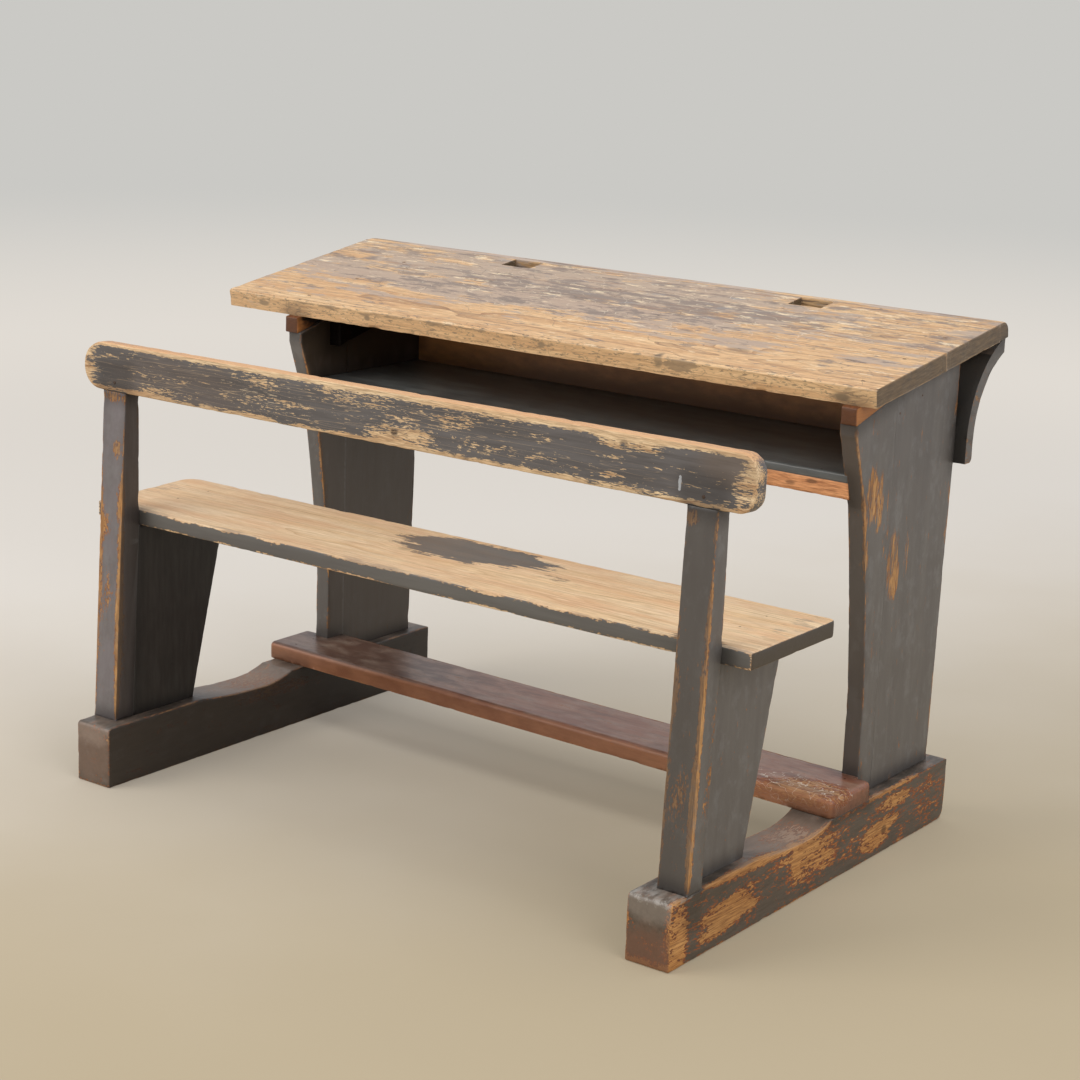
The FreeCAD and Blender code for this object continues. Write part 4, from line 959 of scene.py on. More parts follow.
looks["right_runner"] = dict(
    LOW_PAINT, seed=2, along="Y", films=(HOLLOW_DUST,), early="#d09a5c", mellow="#c18648",
    rubs=on_face("right_runner", 0, 1, (
        (-0.305, 0.048, 0.070, 0.018, 0.50),
        (-0.265, 0.036, 0.075, 0.016, 0.50),
        (-0.320, 0.024, 0.055, 0.014, 0.46),
        (-0.240, 0.060, 0.050, 0.012, 0.28),
        (-0.405, 0.040, 0.026, 0.070, 0.60),
        (-0.110, 0.064, 0.013, 0.036, 0.46),
        (-0.060, 0.042, 0.085, 0.026, 0.34),
        (0.115, 0.030, 0.052, 0.024, 0.54),
        (0.155, 0.046, 0.050, 0.013, 0.40),
        (0.175, 0.074, 0.066, 0.015, 0.40),
        (0.290, 0.050, 0.070, 0.050, 0.20),
        (-0.050, 0.050, 0.420, 0.060, 0.13),
    )) + (
        ((0.5905, -0.210, 0.090), (0.02, 0.130, 0.010), 0.40),
        ((0.556, -0.08, 0.070), (0.05, 0.140, 0.020), 0.70),
        ((0.556, -0.427, 0.004), (0.06, 0.03, 0.012), 0.40),
    ),
    knots=(((0.5905, 0.144, 0.036), (0.007, 0.008, 0.007), 0.6),),
    tints=(
        ((0, -1, 0), (((0.556, -0.427, 0.014), (0.09, 0.02, 0.048), 1.2),), "#775340", 0.6),
        ((0, -1, 0), (((0.556, -0.427, 0.090), (0.09, 0.02, 0.030), 1.0),), "#968a7f", 0.5),
        ((0, 0, 1), (((0.556, -0.08, 0.075), (0.08, 0.13, 0.03), 1.2),), "#937d6d", 0.4),
    ),
    marks=(WHITE_SCUFFS,),
    worn_edges=(
        ((0.5905, -0.1, 0.096), (0.02, 0.40, 0.03), 0.8),
        ((0.556, -0.427, 0.0), (0.05, 0.02, 0.02), 1.0),
    ),
)
print("bare patches on the right runner:", len(looks["right_runner"]["rubs"]))

# %% [markdown]
# ## Bench boards and posts
# Upright boards with the grain running up. Their front arrises are worn to a clean orange line. On the
# left the faces that look at the middle of the desk are drawn much darker, partly for dirt and partly
# as painted shade under the seat and desk. The right post's front face is painted darker, as painted
# shade, and the left post has a lighter copy of the grey paint, as painted light.
# These four and the four boards of the desk ends start from the same look, and a loop gives each its
# own seed, so that no two show the same streaks. The posts were rubbed at the arris that a hand grasps.

# %% Upright boards
UPRIGHT = ("left_bench_board", "right_bench_board", "left_bench_post", "right_bench_post",
           "left_desk_end_front", "left_desk_end_rear", "right_desk_end_front", "right_desk_end_rear")
for number, name in enumerate(UPRIGHT):
    looks[name] = dict(GREY_PAINT, seed=4 + number, along="Z", wear=0.60, flake_gain=1.3)
# the left bench board's inner face, nearly black: dirt and painted shade under the seat
looks["left_bench_board"]["tints"] = (((1, 0, 0), (), "#1e1813", 0.96),)
# the left post: a lighter copy of the grey paint as painted light, and a dark inner face for dirt and
# painted shade
looks["left_bench_post"].update(
    paint=("#7b7475", "#726b6c", "#5c5657", "#98928f"), tints=(((1, 0, 0), (), "#352c25", 0.85),),
    rubs=(
        ((-0.485, -0.375, 0.600), (0.03, 0.03, 0.016), 0.40),
        ((-0.476, -0.38, 0.520), (0.012, 0.03, 0.022), 0.46),
        ((-0.468, -0.39, 0.440), (0.010, 0.03, 0.050), 0.50),
        ((-0.495, -0.39, 0.400), (0.016, 0.03, 0.030), 0.40),
        ((-0.485, -0.39, 0.290), (0.016, 0.03, 0.080), 0.30),
        ((-0.505, -0.39, 0.350), (0.010, 0.03, 0.240), 0.36),
        ((-0.464, -0.39, 0.250), (0.008, 0.03, 0.160), 0.40),
    ),
    worn_edges=(
        ((-0.462, -0.39, 0.35), (0.008, 0.03, 0.30), 1.2),
        ((-0.5095, -0.39, 0.35), (0.008, 0.03, 0.30), 0.6),
    ),
)
# the right post's front face, tinted darker: painted shade
looks["right_bench_post"].update(
    tints=(((0, -1, 0), (), "#48423d", 0.60),),
    rubs=(
        ((0.570, -0.39, 0.215), (0.030, 0.03, 0.070), 0.25),
        ((0.566, -0.39, 0.400), (0.030, 0.03, 0.200), 0.08),
        ((0.553, -0.372, 0.590), (0.012, 0.03, 0.014), 0.55),
        ((0.548, -0.38, 0.360), (0.008, 0.03, 0.040), 0.40),
        ((0.545, -0.39, 0.300), (0.006, 0.03, 0.250), 0.25),
    ),
    worn_edges=(((0.5905, -0.385, 0.30), (0.010, 0.03, 0.42), 1.6),),
)
print("upright boards:", len(UPRIGHT))

# %% [markdown]
# ## Desk ends
# Each end is glued up from a narrow front board and a wide rear one. The left end's inner faces are
# drawn dark brown, partly for dirt and partly as painted shade, and in the book compartment between
# the ends the inner faces are tinted darker brown by a zone, as painted shade. The right end's front
# face is tinted darker, as painted shade. Its outer face has two long bare strips where a knee or a
# bag rubbed. Both its boards get the same list of zones, so a strip can run over the seam. A small
# pale fleck sits near the front arris of the right end.

# %% Desk ends
LEFT_COMPARTMENT_SHADE = ((-0.458, 0.17, 0.66), (0.05, 0.22, 0.09), 1.4)
RIGHT_COMPARTMENT_SHADE = ((0.539, 0.17, 0.66), (0.05, 0.22, 0.09), 1.4)
for part in ("front", "rear"):
    # inner faces darker for dirt and painted shade, and darker still in the compartment as painted shade
    looks["left_desk_end_" + part]["tints"] = (
        ((1, 0, 0), (), "#473c32", 0.82),
        ((1, 0, 0), (LEFT_COMPARTMENT_SHADE,), "#3a3025", 0.95),
    )
    right_end = looks["right_desk_end_" + part]
    right_end["tints"] = (((-1, 0, 0), (RIGHT_COMPARTMENT_SHADE,), "#3a3025", 0.95),)
    right_end.update(flake=(0.0220, 0.0024, 0.0024), flake_gain=1.55, comb_gain=0.9, level=0.45)
    right_end["rubs"] = (
        ((0.567, 0.080, 0.545), (0.02, 0.020, 0.056), 0.52),
        ((0.567, 0.104, 0.530), (0.02, 0.012, 0.060), 0.46),
        ((0.567, 0.128, 0.490), (0.02, 0.010, 0.070), 0.36),
        ((0.567, 0.156, 0.432), (0.02, 0.022, 0.062), 0.52),
        ((0.567, 0.168, 0.402), (0.02, 0.012, 0.036), 0.36),
        ((0.567, 0.196, 0.440), (0.02, 0.012, 0.050), 0.26),
    )
for side, arris in (("left", -0.458), ("right", 0.567)):
    looks[side + "_desk_end_front"]["worn_edges"] = (((arris, 0.03, 0.30), (0.006, 0.06, 0.36), 1.6),)
# the right end's front face, tinted darker: painted shade
looks["right_desk_end_front"]["tints"] += (((0, -1, 0), (), "#4d433b", 0.6),)
looks["right_desk_end_front"]["marks"] += (
    ("#aab0b8", (0.010, 0.010, 0.010), 0.80, 0.05, 0.9, (
        ((0.553, 0.064, 0.344), (0.006, 0.02, 0.008), 0.6),
    )),
)
print("bare patches on the right desk end:", len(looks["right_desk_end_front"]["rubs"]))

# %% [markdown]
# ## The back rail
# Backs have polished the rail's top and both ends down to clean pine, and buttons and buckles have
# scratched its face. The paint that is left is nearly black, and its flakes are long and thin, since
# the rail was planed along the grain and the paint came off with the fibres.

# %% Back rail
looks["backrest_rail"] = dict(
    GREY_PAINT, finish="black_oil_paint_rubbed_off_pine", seed=14, along="X",
    early="#ecd0a6", mellow="#dcb384", late="#97632f",
    paint=("#66615f", "#56504d", "#3e3835", "#8d8681"), under=("#8a6947", "#dcbd90"), under_width=0.05,
    flake=(0.0120, 0.0018, 0.0018), flake_gain=1.7, comb=(0.070, 0.0050, 0.0050), wear=0.70, sunk=0.35,
    blot_gain=2.1, soil=0.12, blot=(0.070, 0.018, 0.018), level=0.43,
    rubs=on_face("backrest_rail", 1, 0, (
        (-0.570, 0.645, 0.056, 0.060, 0.62),
        (0.640, 0.640, 0.040, 0.050, 0.42),
        (-0.42, 0.615, 0.130, 0.022, 0.17),
        (-0.30, 0.665, 0.260, 0.014, 0.05),
        (-0.18, 0.635, 0.110, 0.026, 0.13),
        (-0.02, 0.660, 0.110, 0.018, 0.16),
        (0.070, 0.621, 0.075, 0.016, 0.58),
        (0.200, 0.645, 0.200, 0.030, 0.13),
        (0.450, 0.670, 0.066, 0.015, 0.52),
        (0.420, 0.610, 0.220, 0.010, 0.20),
        (0.030, 0.640, 0.650, 0.060, 0.03),
    )) + (((0.04, -0.352, 0.692), (0.90, 0.05, 0.024), 0.85),),
    films=(("#8f6844", (0.080, 0.004, 0.004), 0.57, 0.06, 0.45, ()),),
    knots=(
        ((0.061, -0.365, 0.626), (0.0065, 0.02, 0.0055), 0.9),
        ((0.441, -0.365, 0.667), (0.007, 0.02, 0.006), 0.5),
    ),
    marks=SPECKS + (
        ("#dcc7a6", (0.0240, 0.0016, 0.0016), 0.80, 0.02, 0.80, on_face("backrest_rail", 1, 0, (
            (-0.36, 0.630, 0.22, 0.04, 0.15),
            (-0.06, 0.645, 0.20, 0.04, 0.15),
            (0.40, 0.630, 0.30, 0.04, 0.09),
        ))),
        ("#c3c6c9", (0.006, 0.004, 0.004), 0.80, 0.02, 0.9, (
            ((0.530, -0.365, 0.631), (0.003, 0.01, 0.012), 0.6),
        )),
    ),
    scratches=(
        ("#cdb08a", (0.140, 0.020, 0.0060), 0.010, 0.60, on_face("backrest_rail", 1, 0, (
            (-0.05, 0.64, 0.60, 0.05, 0.9),
        ))),
    ),
    tints=(
        ((0, -1, 0), on_face("backrest_rail", 1, 0, ((0.615, 0.66, 0.07, 0.03, 0.8),)), "#7a6148", 0.35),
        ((0, -1, 0), on_face("backrest_rail", 1, 0, ((-0.36, 0.63, 0.18, 0.05, 0.8),)), "#6b5443", 0.25),
        ((0, 0, 1), (), "#d09a6a", 0.65),
    ),
    worn_edges=(
        ((0.04, -0.36, 0.69), (0.80, 0.06, 0.03), 1.0),
        ((0.04, -0.366, 0.604), (0.80, 0.02, 0.02), 1.3),
    ),
)
print("rail dressed down to bare wood in", len(looks["backrest_rail"]["rubs"]), "places")

# %% [markdown]
# ## The seat
# Pine scrubbed with soap and sand until it is nearly white, with fine lines along it. The eye sees pale
# matt wood on top, a band of grey paint still on the edge, and one dark patch of old paint left in the
# middle where nobody sat. The top is made bare by a term that knows which way is up, and the patch is
# a zone with a strength below zero, which brings the paint back.

# %% Seat
CRACKS = ("#4a3220", (0.160, 0.0024, 0.0024), 0.655, 0.02, 0.75, ())
looks["seat_plank"] = dict(
    GREY_PAINT, finish="scrubbed_pine_with_painted_edges", slot="seat_pine", seed=16, along="X",
    early="#f4dab4", mellow="#ecc99b", late="#b68c59", marks=(DARK_SPECKS, DRY_SPLITS),
    under=("#8a6238", "#b98a55"), under_width=0.04, bare_up=0.85, pores=0.30, soil=0.14,
    soil_colour="#ab9377", comb=(0.200, 0.0060, 0.0060), line=0.75, ring=0.0036, comb_gain=0.4,
    paint=("#67645f", "#5c5854", "#46423e", "#85827d"), level=0.44, flake_gain=1.1, blot_gain=0.6,
    worn_edges=(
        ((0.03, -0.338, 0.422), (0.70, 0.02, 0.02), 0.5),
        ((0.03, -0.338, 0.398), (0.70, 0.02, 0.01), 0.3),
    ),
    rubs=(
        ((0.055, -0.182, 0.422), (0.125, 0.060, 0.02), -1.6),
        ((0.110, -0.165, 0.422), (0.110, 0.022, 0.02), -1.2),
    ),
    films=(
        ("#cdb294", (0.400, 0.020, 0.020), 0.53, 0.10, 0.28, ()),
        ("#a07a54", (0.340, 0.0050, 0.0050), 0.60, 0.05, 0.45, ()),
        ("#d0966a", (0.200, 0.040, 0.040), 0.53, 0.12, 0.40, ()),
        CRACKS,
        ("#8d7a6a", (0.080, 0.020, 0.020), 0.80, 0.06, 0.60, (
            ((0.0, -0.335, 0.422), (0.7, 0.016, 0.02), 0.26),
            ((0.62, -0.23, 0.422), (0.04, 0.20, 0.02), 0.24),
            ((-0.55, -0.25, 0.422), (0.05, 0.12, 0.02), 0.24),
        )),
        ("#4b3c30", (0.060, 0.020, 0.020), 0.80, 0.08, 0.75, (
            ((0.545, -0.335, 0.422), (0.060, 0.030, 0.02), 0.40),
        )),
        ("#5d4636", (0.030, 0.010, 0.010), 0.80, 0.05, 0.70, (
            ((0.235, -0.215, 0.422), (0.035, 0.016, 0.02), 0.34),
        )),
    ),
    end=("#4b4036", "#6a5c4e", 0.9),
    tints=(
        ((1, 0, 0), (), "#40362b", 0.90),
        ((0, 0, -1), (), "#9a7d5c", 0.5),
        ((0, 0, 1), (((-0.50, -0.23, 0.42), (0.75, 0.30, 0.05), 1.0),), "#a5825f", 0.24),
    ),
    knots=(((-0.02, -0.235, 0.422), (0.012, 0.007, 0.01), 0.35),),
)
print("films on the seat:", len(looks["seat_plank"]["films"]))

# %% [markdown]
# ## The footrest
# Pine stained brown and varnished, then polished by shoes. It is the smoothest board of the desk and
# has the reddest colour. At its right end, where feet turned, the varnish is gone and thin pale curls
# are scratched into the wood.

# %% Footrest
looks["footrest_board"] = dict(
    GREY_PAINT, finish="brown_varnished_pine_polished_by_shoes", slot="footworn_pine", seed=17, along="X",
    early="#cc9a66", mellow="#bb8350", late="#7a4a26",
    paint=("#99664c", "#885642", "#5a3725", "#b29b87"), under=("#7a3c22", "#a05a2a"), rough_paint=0.32,
    wear=0.55, dust=0.40, dust_colour="#aa9583", under_width=0.12, sunk=0.35, comb=(0.060, 0.0060, 0.0060),
    marks=(("#5a3b2a", (0.080, 0.020, 0.020), 0.56, 0.08, 0.55, ()), DARK_SPECKS, DRY_SPLITS),
    rubs=(
        ((0.545, 0.010, 0.124), (0.080, 0.045, 0.03), 0.50),
        ((0.430, -0.010, 0.120), (0.120, 0.02, 0.03), 0.26),
        ((0.605, 0.030, 0.112), (0.012, 0.050, 0.014), 0.60),
        ((0.100, -0.0156, 0.110), (0.500, 0.010, 0.016), 0.14),
    ),
    scratches=(
        ("#e2d5c3", (0.016, 0.016, 0.016), 0.013, 0.90, (((0.52, 0.012, 0.124), (0.10, 0.045, 0.03), 1.0),)),
    ),
    worn_edges=(((0.2, -0.0156, 0.124), (0.60, 0.03, 0.02), 0.9),),
    tints=(
        ((0, -1, 0), (), "#bd8560", 0.50),
        ((0, -1, 0), (((-0.35, -0.015, 0.11), (0.60, 0.03, 0.05), 1.0),), "#703f2c", 0.68),
        ((0, 0, 1), (((-0.42, 0.06, 0.124), (0.36, 0.14, 0.03), 1.2),), "#4c3c33", 0.62),
    ),
)
print("the footrest's varnish has roughness", looks["footrest_board"]["rough_paint"])

# %% [markdown]
# ## Shelf and back panel
# The shelf under the top is painted black, so that ink would not show, and books have polished it to a
# soft gloss. Its paint is drawn mid grey, much lighter than black, as painted light in the dim
# compartment. The back panel is grey outside and bare pine inside. Inside it is drawn dark brown along
# the bottom of the compartment, and dark grey where it reaches past the right desk end under the top,
# partly grey paint and partly painted shade. Both faces are one material, and a tint by direction
# tells inside from outside.

# %% Shelf and back panel
looks["shelf_board"] = dict(
    GREY_PAINT, finish="black_painted_pine_polished_by_books", slot="dark_shelf", seed=18, along="X",
    # mid grey, lighter than the black paint: painted light in the dim compartment
    paint=("#656765", "#565756", "#40403f", "#8a8e8d"), wear=0.2, level=0.6, rough_paint=0.35,
    dust=0.35, dust_colour="#7e8482", grime=0.2,
    marks=(
        ("#8b9190", (0.120, 0.030, 0.030), 0.66, 0.10, 0.55, (
            ((-0.30, 0.13, 0.577), (0.16, 0.10, 0.02), 0.16),
        )),
        ("#b8b09a", (0.012, 0.006, 0.006), 0.745, 0.015, 0.7, ()),
    ),
)
looks["back_panel"] = dict(
    GREY_PAINT, finish="grey_paint_outside_bare_pine_inside", seed=15, along="X", wear=0.40, flake_gain=0.9,
    tints=(
        ((0, -1, 0), (), "#d9985c", 0.9),
        # darker brown along the bottom of the inner face
        ((0, -1, 0), (((0.04, 0.33, 0.57), (0.7, 0.05, 0.05), 1.0),), "#4a3a2c", 0.6),
        # dark grey past the right desk end, under the top: grey paint and painted shade
        ((0, -1, 0), (((0.590, 0.36, 0.65), (0.048, 0.30, 0.30), 5.0),), "#3a3733", 1.0),
        ((1, 0, 0), (), "#5c5650", 0.4),
    ),
)
print("looks so far:", len(looks))

# %% [markdown]
# ## The top
# Three boards of pine, rubbed by sleeves and stained with ink and paint. In front the wood is clean,
# has the silky shine of old wax and shows its rings. Behind, a grey-brown residue of old paint lies in
# torn patches, with darker rests on it and pale wood between them. The front edge is the board's side:
# elbows cleaned it, so it is pale, with dark pores, knots and one long stain. The ends are sawn.

# %% Top
TOP = dict(
    PINE, finish="waxed_pine_under_torn_paint_and_ink", slot="desktop_pine", along="X",
    early="#ebc592", mellow="#d9aa74", late="#8a5c2e", ring=0.0050, line=0.9, pores=0.40,
    soil_colour="#a5855f", rough_wood=0.50, sheen=0.8, end=("#44341f", "#6a553a", 0.95),
    marks=(
        ("#d08a92", (0.016, 0.008, 0.008), 0.705, 0.015, 0.55, ()),
        ("#9db07a", (0.018, 0.007, 0.007), 0.710, 0.015, 0.50, ()),
        ("#93b0be", (0.022, 0.008, 0.008), 0.710, 0.015, 0.50, ()),
        ("#f1ebe0", (0.010, 0.005, 0.005), 0.700, 0.015, 0.65, ()),
    ),
)
SCRAPED = (
    ("#ecdcc0", (0.060, 0.030, 0.030), 0.0055, 0.6, (((0.0, 0.25, 0.74), (0.7, 0.20, 0.05), 0.8),)),
    ("#4f3d30", (0.110, 0.040, 0.040), 0.0040, 0.5, ()),
)
HAIRLINES = ("#7d5730", (0.260, 0.0026, 0.0026), 0.60, 0.035, 0.60, ())
FRONT = (0.0, 0.024, 0.695)
KEEP_FRONT_CLEAN = (FRONT, (0.7, 0.010, 0.03), -0.30)
looks["top_front_board"] = dict(
    TOP, seed=20, scratches=SCRAPED, tints=(((0, -1, 0), (), "#f2cf9f", 0.30),),
    films=(
        ("#b9804a", (0.300, 0.016, 0.016), 0.58, 0.07, 0.45, ()),
        HAIRLINES,
        CRACKS,
        ("#a59284", (0.130, 0.030, 0.030), 0.54, 0.03, 0.78, (
            ((-0.20, 0.22, 0.735), (0.55, 0.080, 0.05), 0.17),
            ((0.10, 0.05, 0.712), (0.80, 0.060, 0.05), -0.16),
            KEEP_FRONT_CLEAN,
        )),
        ("#74645a", (0.050, 0.015, 0.015), 0.61, 0.04, 0.80, (
            ((-0.10, 0.21, 0.735), (0.5, 0.08, 0.05), 0.09),
            KEEP_FRONT_CLEAN,
        )),
        ("#efd8b2", (0.050, 0.010, 0.010), 0.62, 0.03, 0.65, ()),
        ("#3a2818", (0.0110, 0.0030, 0.0030), 0.80, 0.010, 0.90, ((FRONT, (1.6, 0.012, 0.08), 0.235),)),
        ("#3f2a19", (0.050, 0.010, 0.010), 0.80, 0.06, 0.82, (
            ((0.275, 0.024, 0.700), (0.045, 0.008, 0.012), 0.5),
            ((-0.30, 0.024, 0.704), (0.300, 0.006, 0.006), 0.3),
            ((0.231, 0.060, 0.702), (0.012, 0.050, 0.010), 0.3),
            ((0.53, 0.024, 0.691), (0.030, 0.006, 0.008), 0.3),
            ((-0.54, 0.024, 0.694), (0.030, 0.006, 0.006), 0.3),
            ((0.49, 0.13, 0.724), (0.040, 0.020, 0.010), 0.26),
        )),
    ),
    knots=(
        ((0.231, 0.026, 0.702), (0.007, 0.02, 0.012), 0.75),
        ((0.537, 0.026, 0.691), (0.013, 0.02, 0.006), 0.95),
        ((-0.545, 0.026, 0.694), (0.011, 0.02, 0.0045), 0.9),
        ((-0.324, 0.026, 0.696), (0.006, 0.02, 0.0045), 0.95),
        ((0.020, 0.026, 0.698), (0.007, 0.02, 0.0045), 0.9),
        ((0.320, 0.103, 0.720), (0.020, 0.009, 0.01), 0.45),
    ),
)
looks["top_rear_board"] = dict(
    TOP, seed=21, scratches=SCRAPED,
    films=(
        HAIRLINES,
        CRACKS,
        ("#a59384", (0.150, 0.040, 0.040), 0.50, 0.04, 0.78, (
            ((-0.10, 0.30, 0.75), (0.45, 0.10, 0.05), 0.13),
            ((0.42, 0.32, 0.75), (0.25, 0.12, 0.05), -0.05),
        )),
        ("#76665c", (0.060, 0.018, 0.018), 0.56, 0.05, 0.80, (
            ((0.0, 0.27, 0.745), (0.4, 0.06, 0.05), 0.10),
        )),
        ("#6d4a30", (0.160, 0.0050, 0.0050), 0.62, 0.03, 0.60, ()),
        ("#8f6d55", (0.180, 0.014, 0.014), 0.58, 0.05, 0.60, ()),
        ("#8d9093", (0.070, 0.024, 0.024), 0.61, 0.04, 0.45, ()),
        ("#efd8b2", (0.050, 0.012, 0.012), 0.60, 0.03, 0.75, ()),
    ),
)
looks["top_rear_strip"] = dict(
    TOP, seed=22,
    films=(
        ("#a89c96", (0.110, 0.030, 0.030), 0.50, 0.05, 0.7, ()),
        ("#5f5048", (0.120, 0.006, 0.006), 0.56, 0.04, 0.7, ()),
    ),
)
print("films on the top:", sum(len(looks[name]["films"]) for name in looks if name.startswith("top_")))

# %% [markdown]
# ## Wedges, cleats and shelf strip
# Small pieces of pine that were never painted. Hands and age have oiled the wedges orange-brown, and
# the strip under the shelf has kept more of its fresh colour. Each wedge's side that faces right is
# painted lighter, as a painted highlight, and its front end darker, partly end grain and partly painted
# shade. On the left wedge that side is the inner one, and a zone paints it nearly black there, as
# painted shade. The cleats sit in the dark of the book compartment and are drawn nearly black, as
# painted shade. Their sheen is nearly off.

# %% Oiled pieces
OILED = dict(
    PINE, finish="hand_oiled_pine", slot="oiled_pine", early="#8f5323", mellow="#7d441c", late="#4c260f",
    rough_wood=0.5, grime=0.15,
)
WEDGE_INNER_SHADE = ((-0.465, 0.13, 0.68), (0.02, 0.115, 0.05), 1.5)
for number, side in enumerate(("left", "right")):
    looks[side + "_top_wedge"] = dict(
        OILED, seed=25 + number, along="Y",
        # side facing right lighter, a painted highlight; front end darker, end grain and painted shade
        tints=(((1, 0, 0), (), "#b8783f", 0.8), ((0, -1, 0), (), "#573113", 0.85)),
    )
# the left wedge's inner side, nearly black: painted shade
looks["left_top_wedge"]["tints"] += (((1, 0, 0), (WEDGE_INNER_SHADE,), "#1d140d", 0.95),)
for number, side in enumerate(("left", "right")):
    looks[side + "_top_cleat"] = dict(
        OILED, finish="black_pine_as_painted_shade", seed=27 + number, along="Y",
        # nearly black: painted shade in the compartment
        early="#181310", mellow="#14100d", late="#0e0b08", sheen=0.05,
    )
looks["shelf_front_strip"] = dict(
    OILED, seed=30, along="X", early="#efae78", mellow="#dc9560", late="#94522a", grime=0.0,
    knots=(
        ((0.484, 0.051, 0.559), (0.010, 0.02, 0.003), 0.6),
        ((0.449, 0.051, 0.552), (0.008, 0.02, 0.003), 0.5),
    ),
)
print("looks:", len(looks))

# %% [markdown]
# ## Dressing the boards
# Every board now gets its worn shape and its finish. A material of its own is made for each, because
# zones, knots and seeds differ from board to board.

# %% Boards dressed
for name, look in looks.items():
    piece = aged_board(name, look)
    piece.data.materials.clear()
    piece.data.materials.append(old_pine(look["finish"] + "_" + name, look))
print("boards dressed:", len(looks), "of", len(boards))

# %% [markdown]
# ## Nails, pegs and pins
# The nails were forged or cut from iron and driven flush, so their heads are a little domed and not
# quite round. The pegs are split hardwood, driven dry and planed off. Each one is turned: a short
# outline, as pairs of depth and radius, is carried round the fastener's own line, with a slow ripple so
# that no two heads are alike. A nail starts at its head, wherever that lies on the line.

# %% Turned fasteners
SIDES = 20
NAIL = ((0.00006, 0.0), (0.00010, 0.0014), (0.00022, 0.0025), (0.00050, 0.0032), (0.0009, 0.0035),
        (0.0013, 0.0034), (0.00145, 0.0015))
NAIL_POINT = ((0.006, 0.00145), (0.0005, 0.0004))
PEG_END = ((0.00010, 0.0), (0.00012, 0.50), (0.00030, 0.85), (0.0008, 0.96), (0.0016, 0.985))
PEG_ROOM = 0.0002
OUT_OF_ROUND = 0.05
HEAD_SHARP = math.radians(50)


def turned_outline(line, is_nail):
    """Depths and radii of a fastener from one end to the other."""
    length = line["high"] - line["low"]
    if is_nail:
        return list(NAIL) + [(length - depth, radius) for depth, radius in NAIL_POINT]
    radius = line["radius"] - PEG_ROOM
    outline = [(depth, share * radius) for depth, share in PEG_END]
    return outline + [(length - depth, share * radius) for depth, share in reversed(PEG_END)]


def skin_rings(mesh, rings):
    """Faces between the rings of points. A ring of one point is a tip."""
    for first, second in zip(rings, rings[1:]):
        for i in range(SIDES):
            j = (i + 1) % SIDES
            if len(first) == 1:
                mesh.faces.new((first[0], second[j], second[i]))
            elif len(second) == 1:
                mesh.faces.new((first[i], first[j], second[0]))
            else:
                mesh.faces.new((first[i], first[j], second[j], second[i]))
    if len(rings[-1]) > 1:
        mesh.faces.new(rings[-1])


def turned_fasteners(name, is_nail):
    """One piece for all the nails or pegs of a CAD node."""
    mesh = bmesh.new()
    kept_grain = mesh.verts.layers.float_vector.new("grain")
    for number, line in enumerate(l for l in lines if l["node"] == name):
        axis = Vector(line["axis"])
        from_low = line["head"] < 0 or not is_nail
        origin = Vector(line["middle"]) + axis * line["low" if from_low else "high"]
        step = axis if from_low else -axis
        side = step.orthogonal().normalized()
        other = step.cross(side)
        rings = []
        for depth, radius in turned_outline(line, is_nail):
            ring = []
            for i in range(SIDES if radius > 0 else 1):
                angle = 2 * math.pi * i / SIDES
                out = side * math.cos(angle) + other * math.sin(angle)
                spot = out * 2.1 + Vector((number * 3.7, depth * 60, len(name)))
                uneven = 1 - OUT_OF_ROUND * (0.5 + 0.5 * noise.noise(spot))
                vertex = mesh.verts.new(origin + step * depth + out * radius * uneven)
                vertex[kept_grain] = (depth + number * 0.05, out.dot(side) * radius, out.dot(other) * radius)
                ring.append(vertex)
            rings.append(ring)
        skin_rings(mesh, rings)
    bmesh.ops.recalc_face_normals(mesh, faces=mesh.faces)
    data = bpy.data.meshes.new("turned_" + name)
    mesh.to_mesh(data)
    mesh.free()
    data.shade_smooth()
    data.set_sharp_from_angle(angle=HEAD_SHARP)
    piece = bpy.data.objects.new("turned_" + name, data)
    bpy.context.scene.collection.objects.link(piece)
    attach(piece, "root")
    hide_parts(name)
    return piece


print("a nail head is drawn by", len(NAIL), "rings of", SIDES, "points")

# %% [markdown]
# ## Iron gone brown
# A century of hands and damp has turned the iron brown. What the eye gets is a dark scale that still
# has a little metal in it, spots of dry red rust, which are rough and no metal at all, and a paler
# powder on the rust. Two noises draw that, one about 2 mm and one under 1 mm wide. Heads on the seat
# and the top lie under hand grease and soap, so theirs is a paler brown.

# %% Iron
SCALE_SPOTS = 420.0
POWDER_SPOTS = 1500.0
RUST_STARTS, RUST_COVERS = 0.40, 0.62
HEAD_DENTS = 0.0002


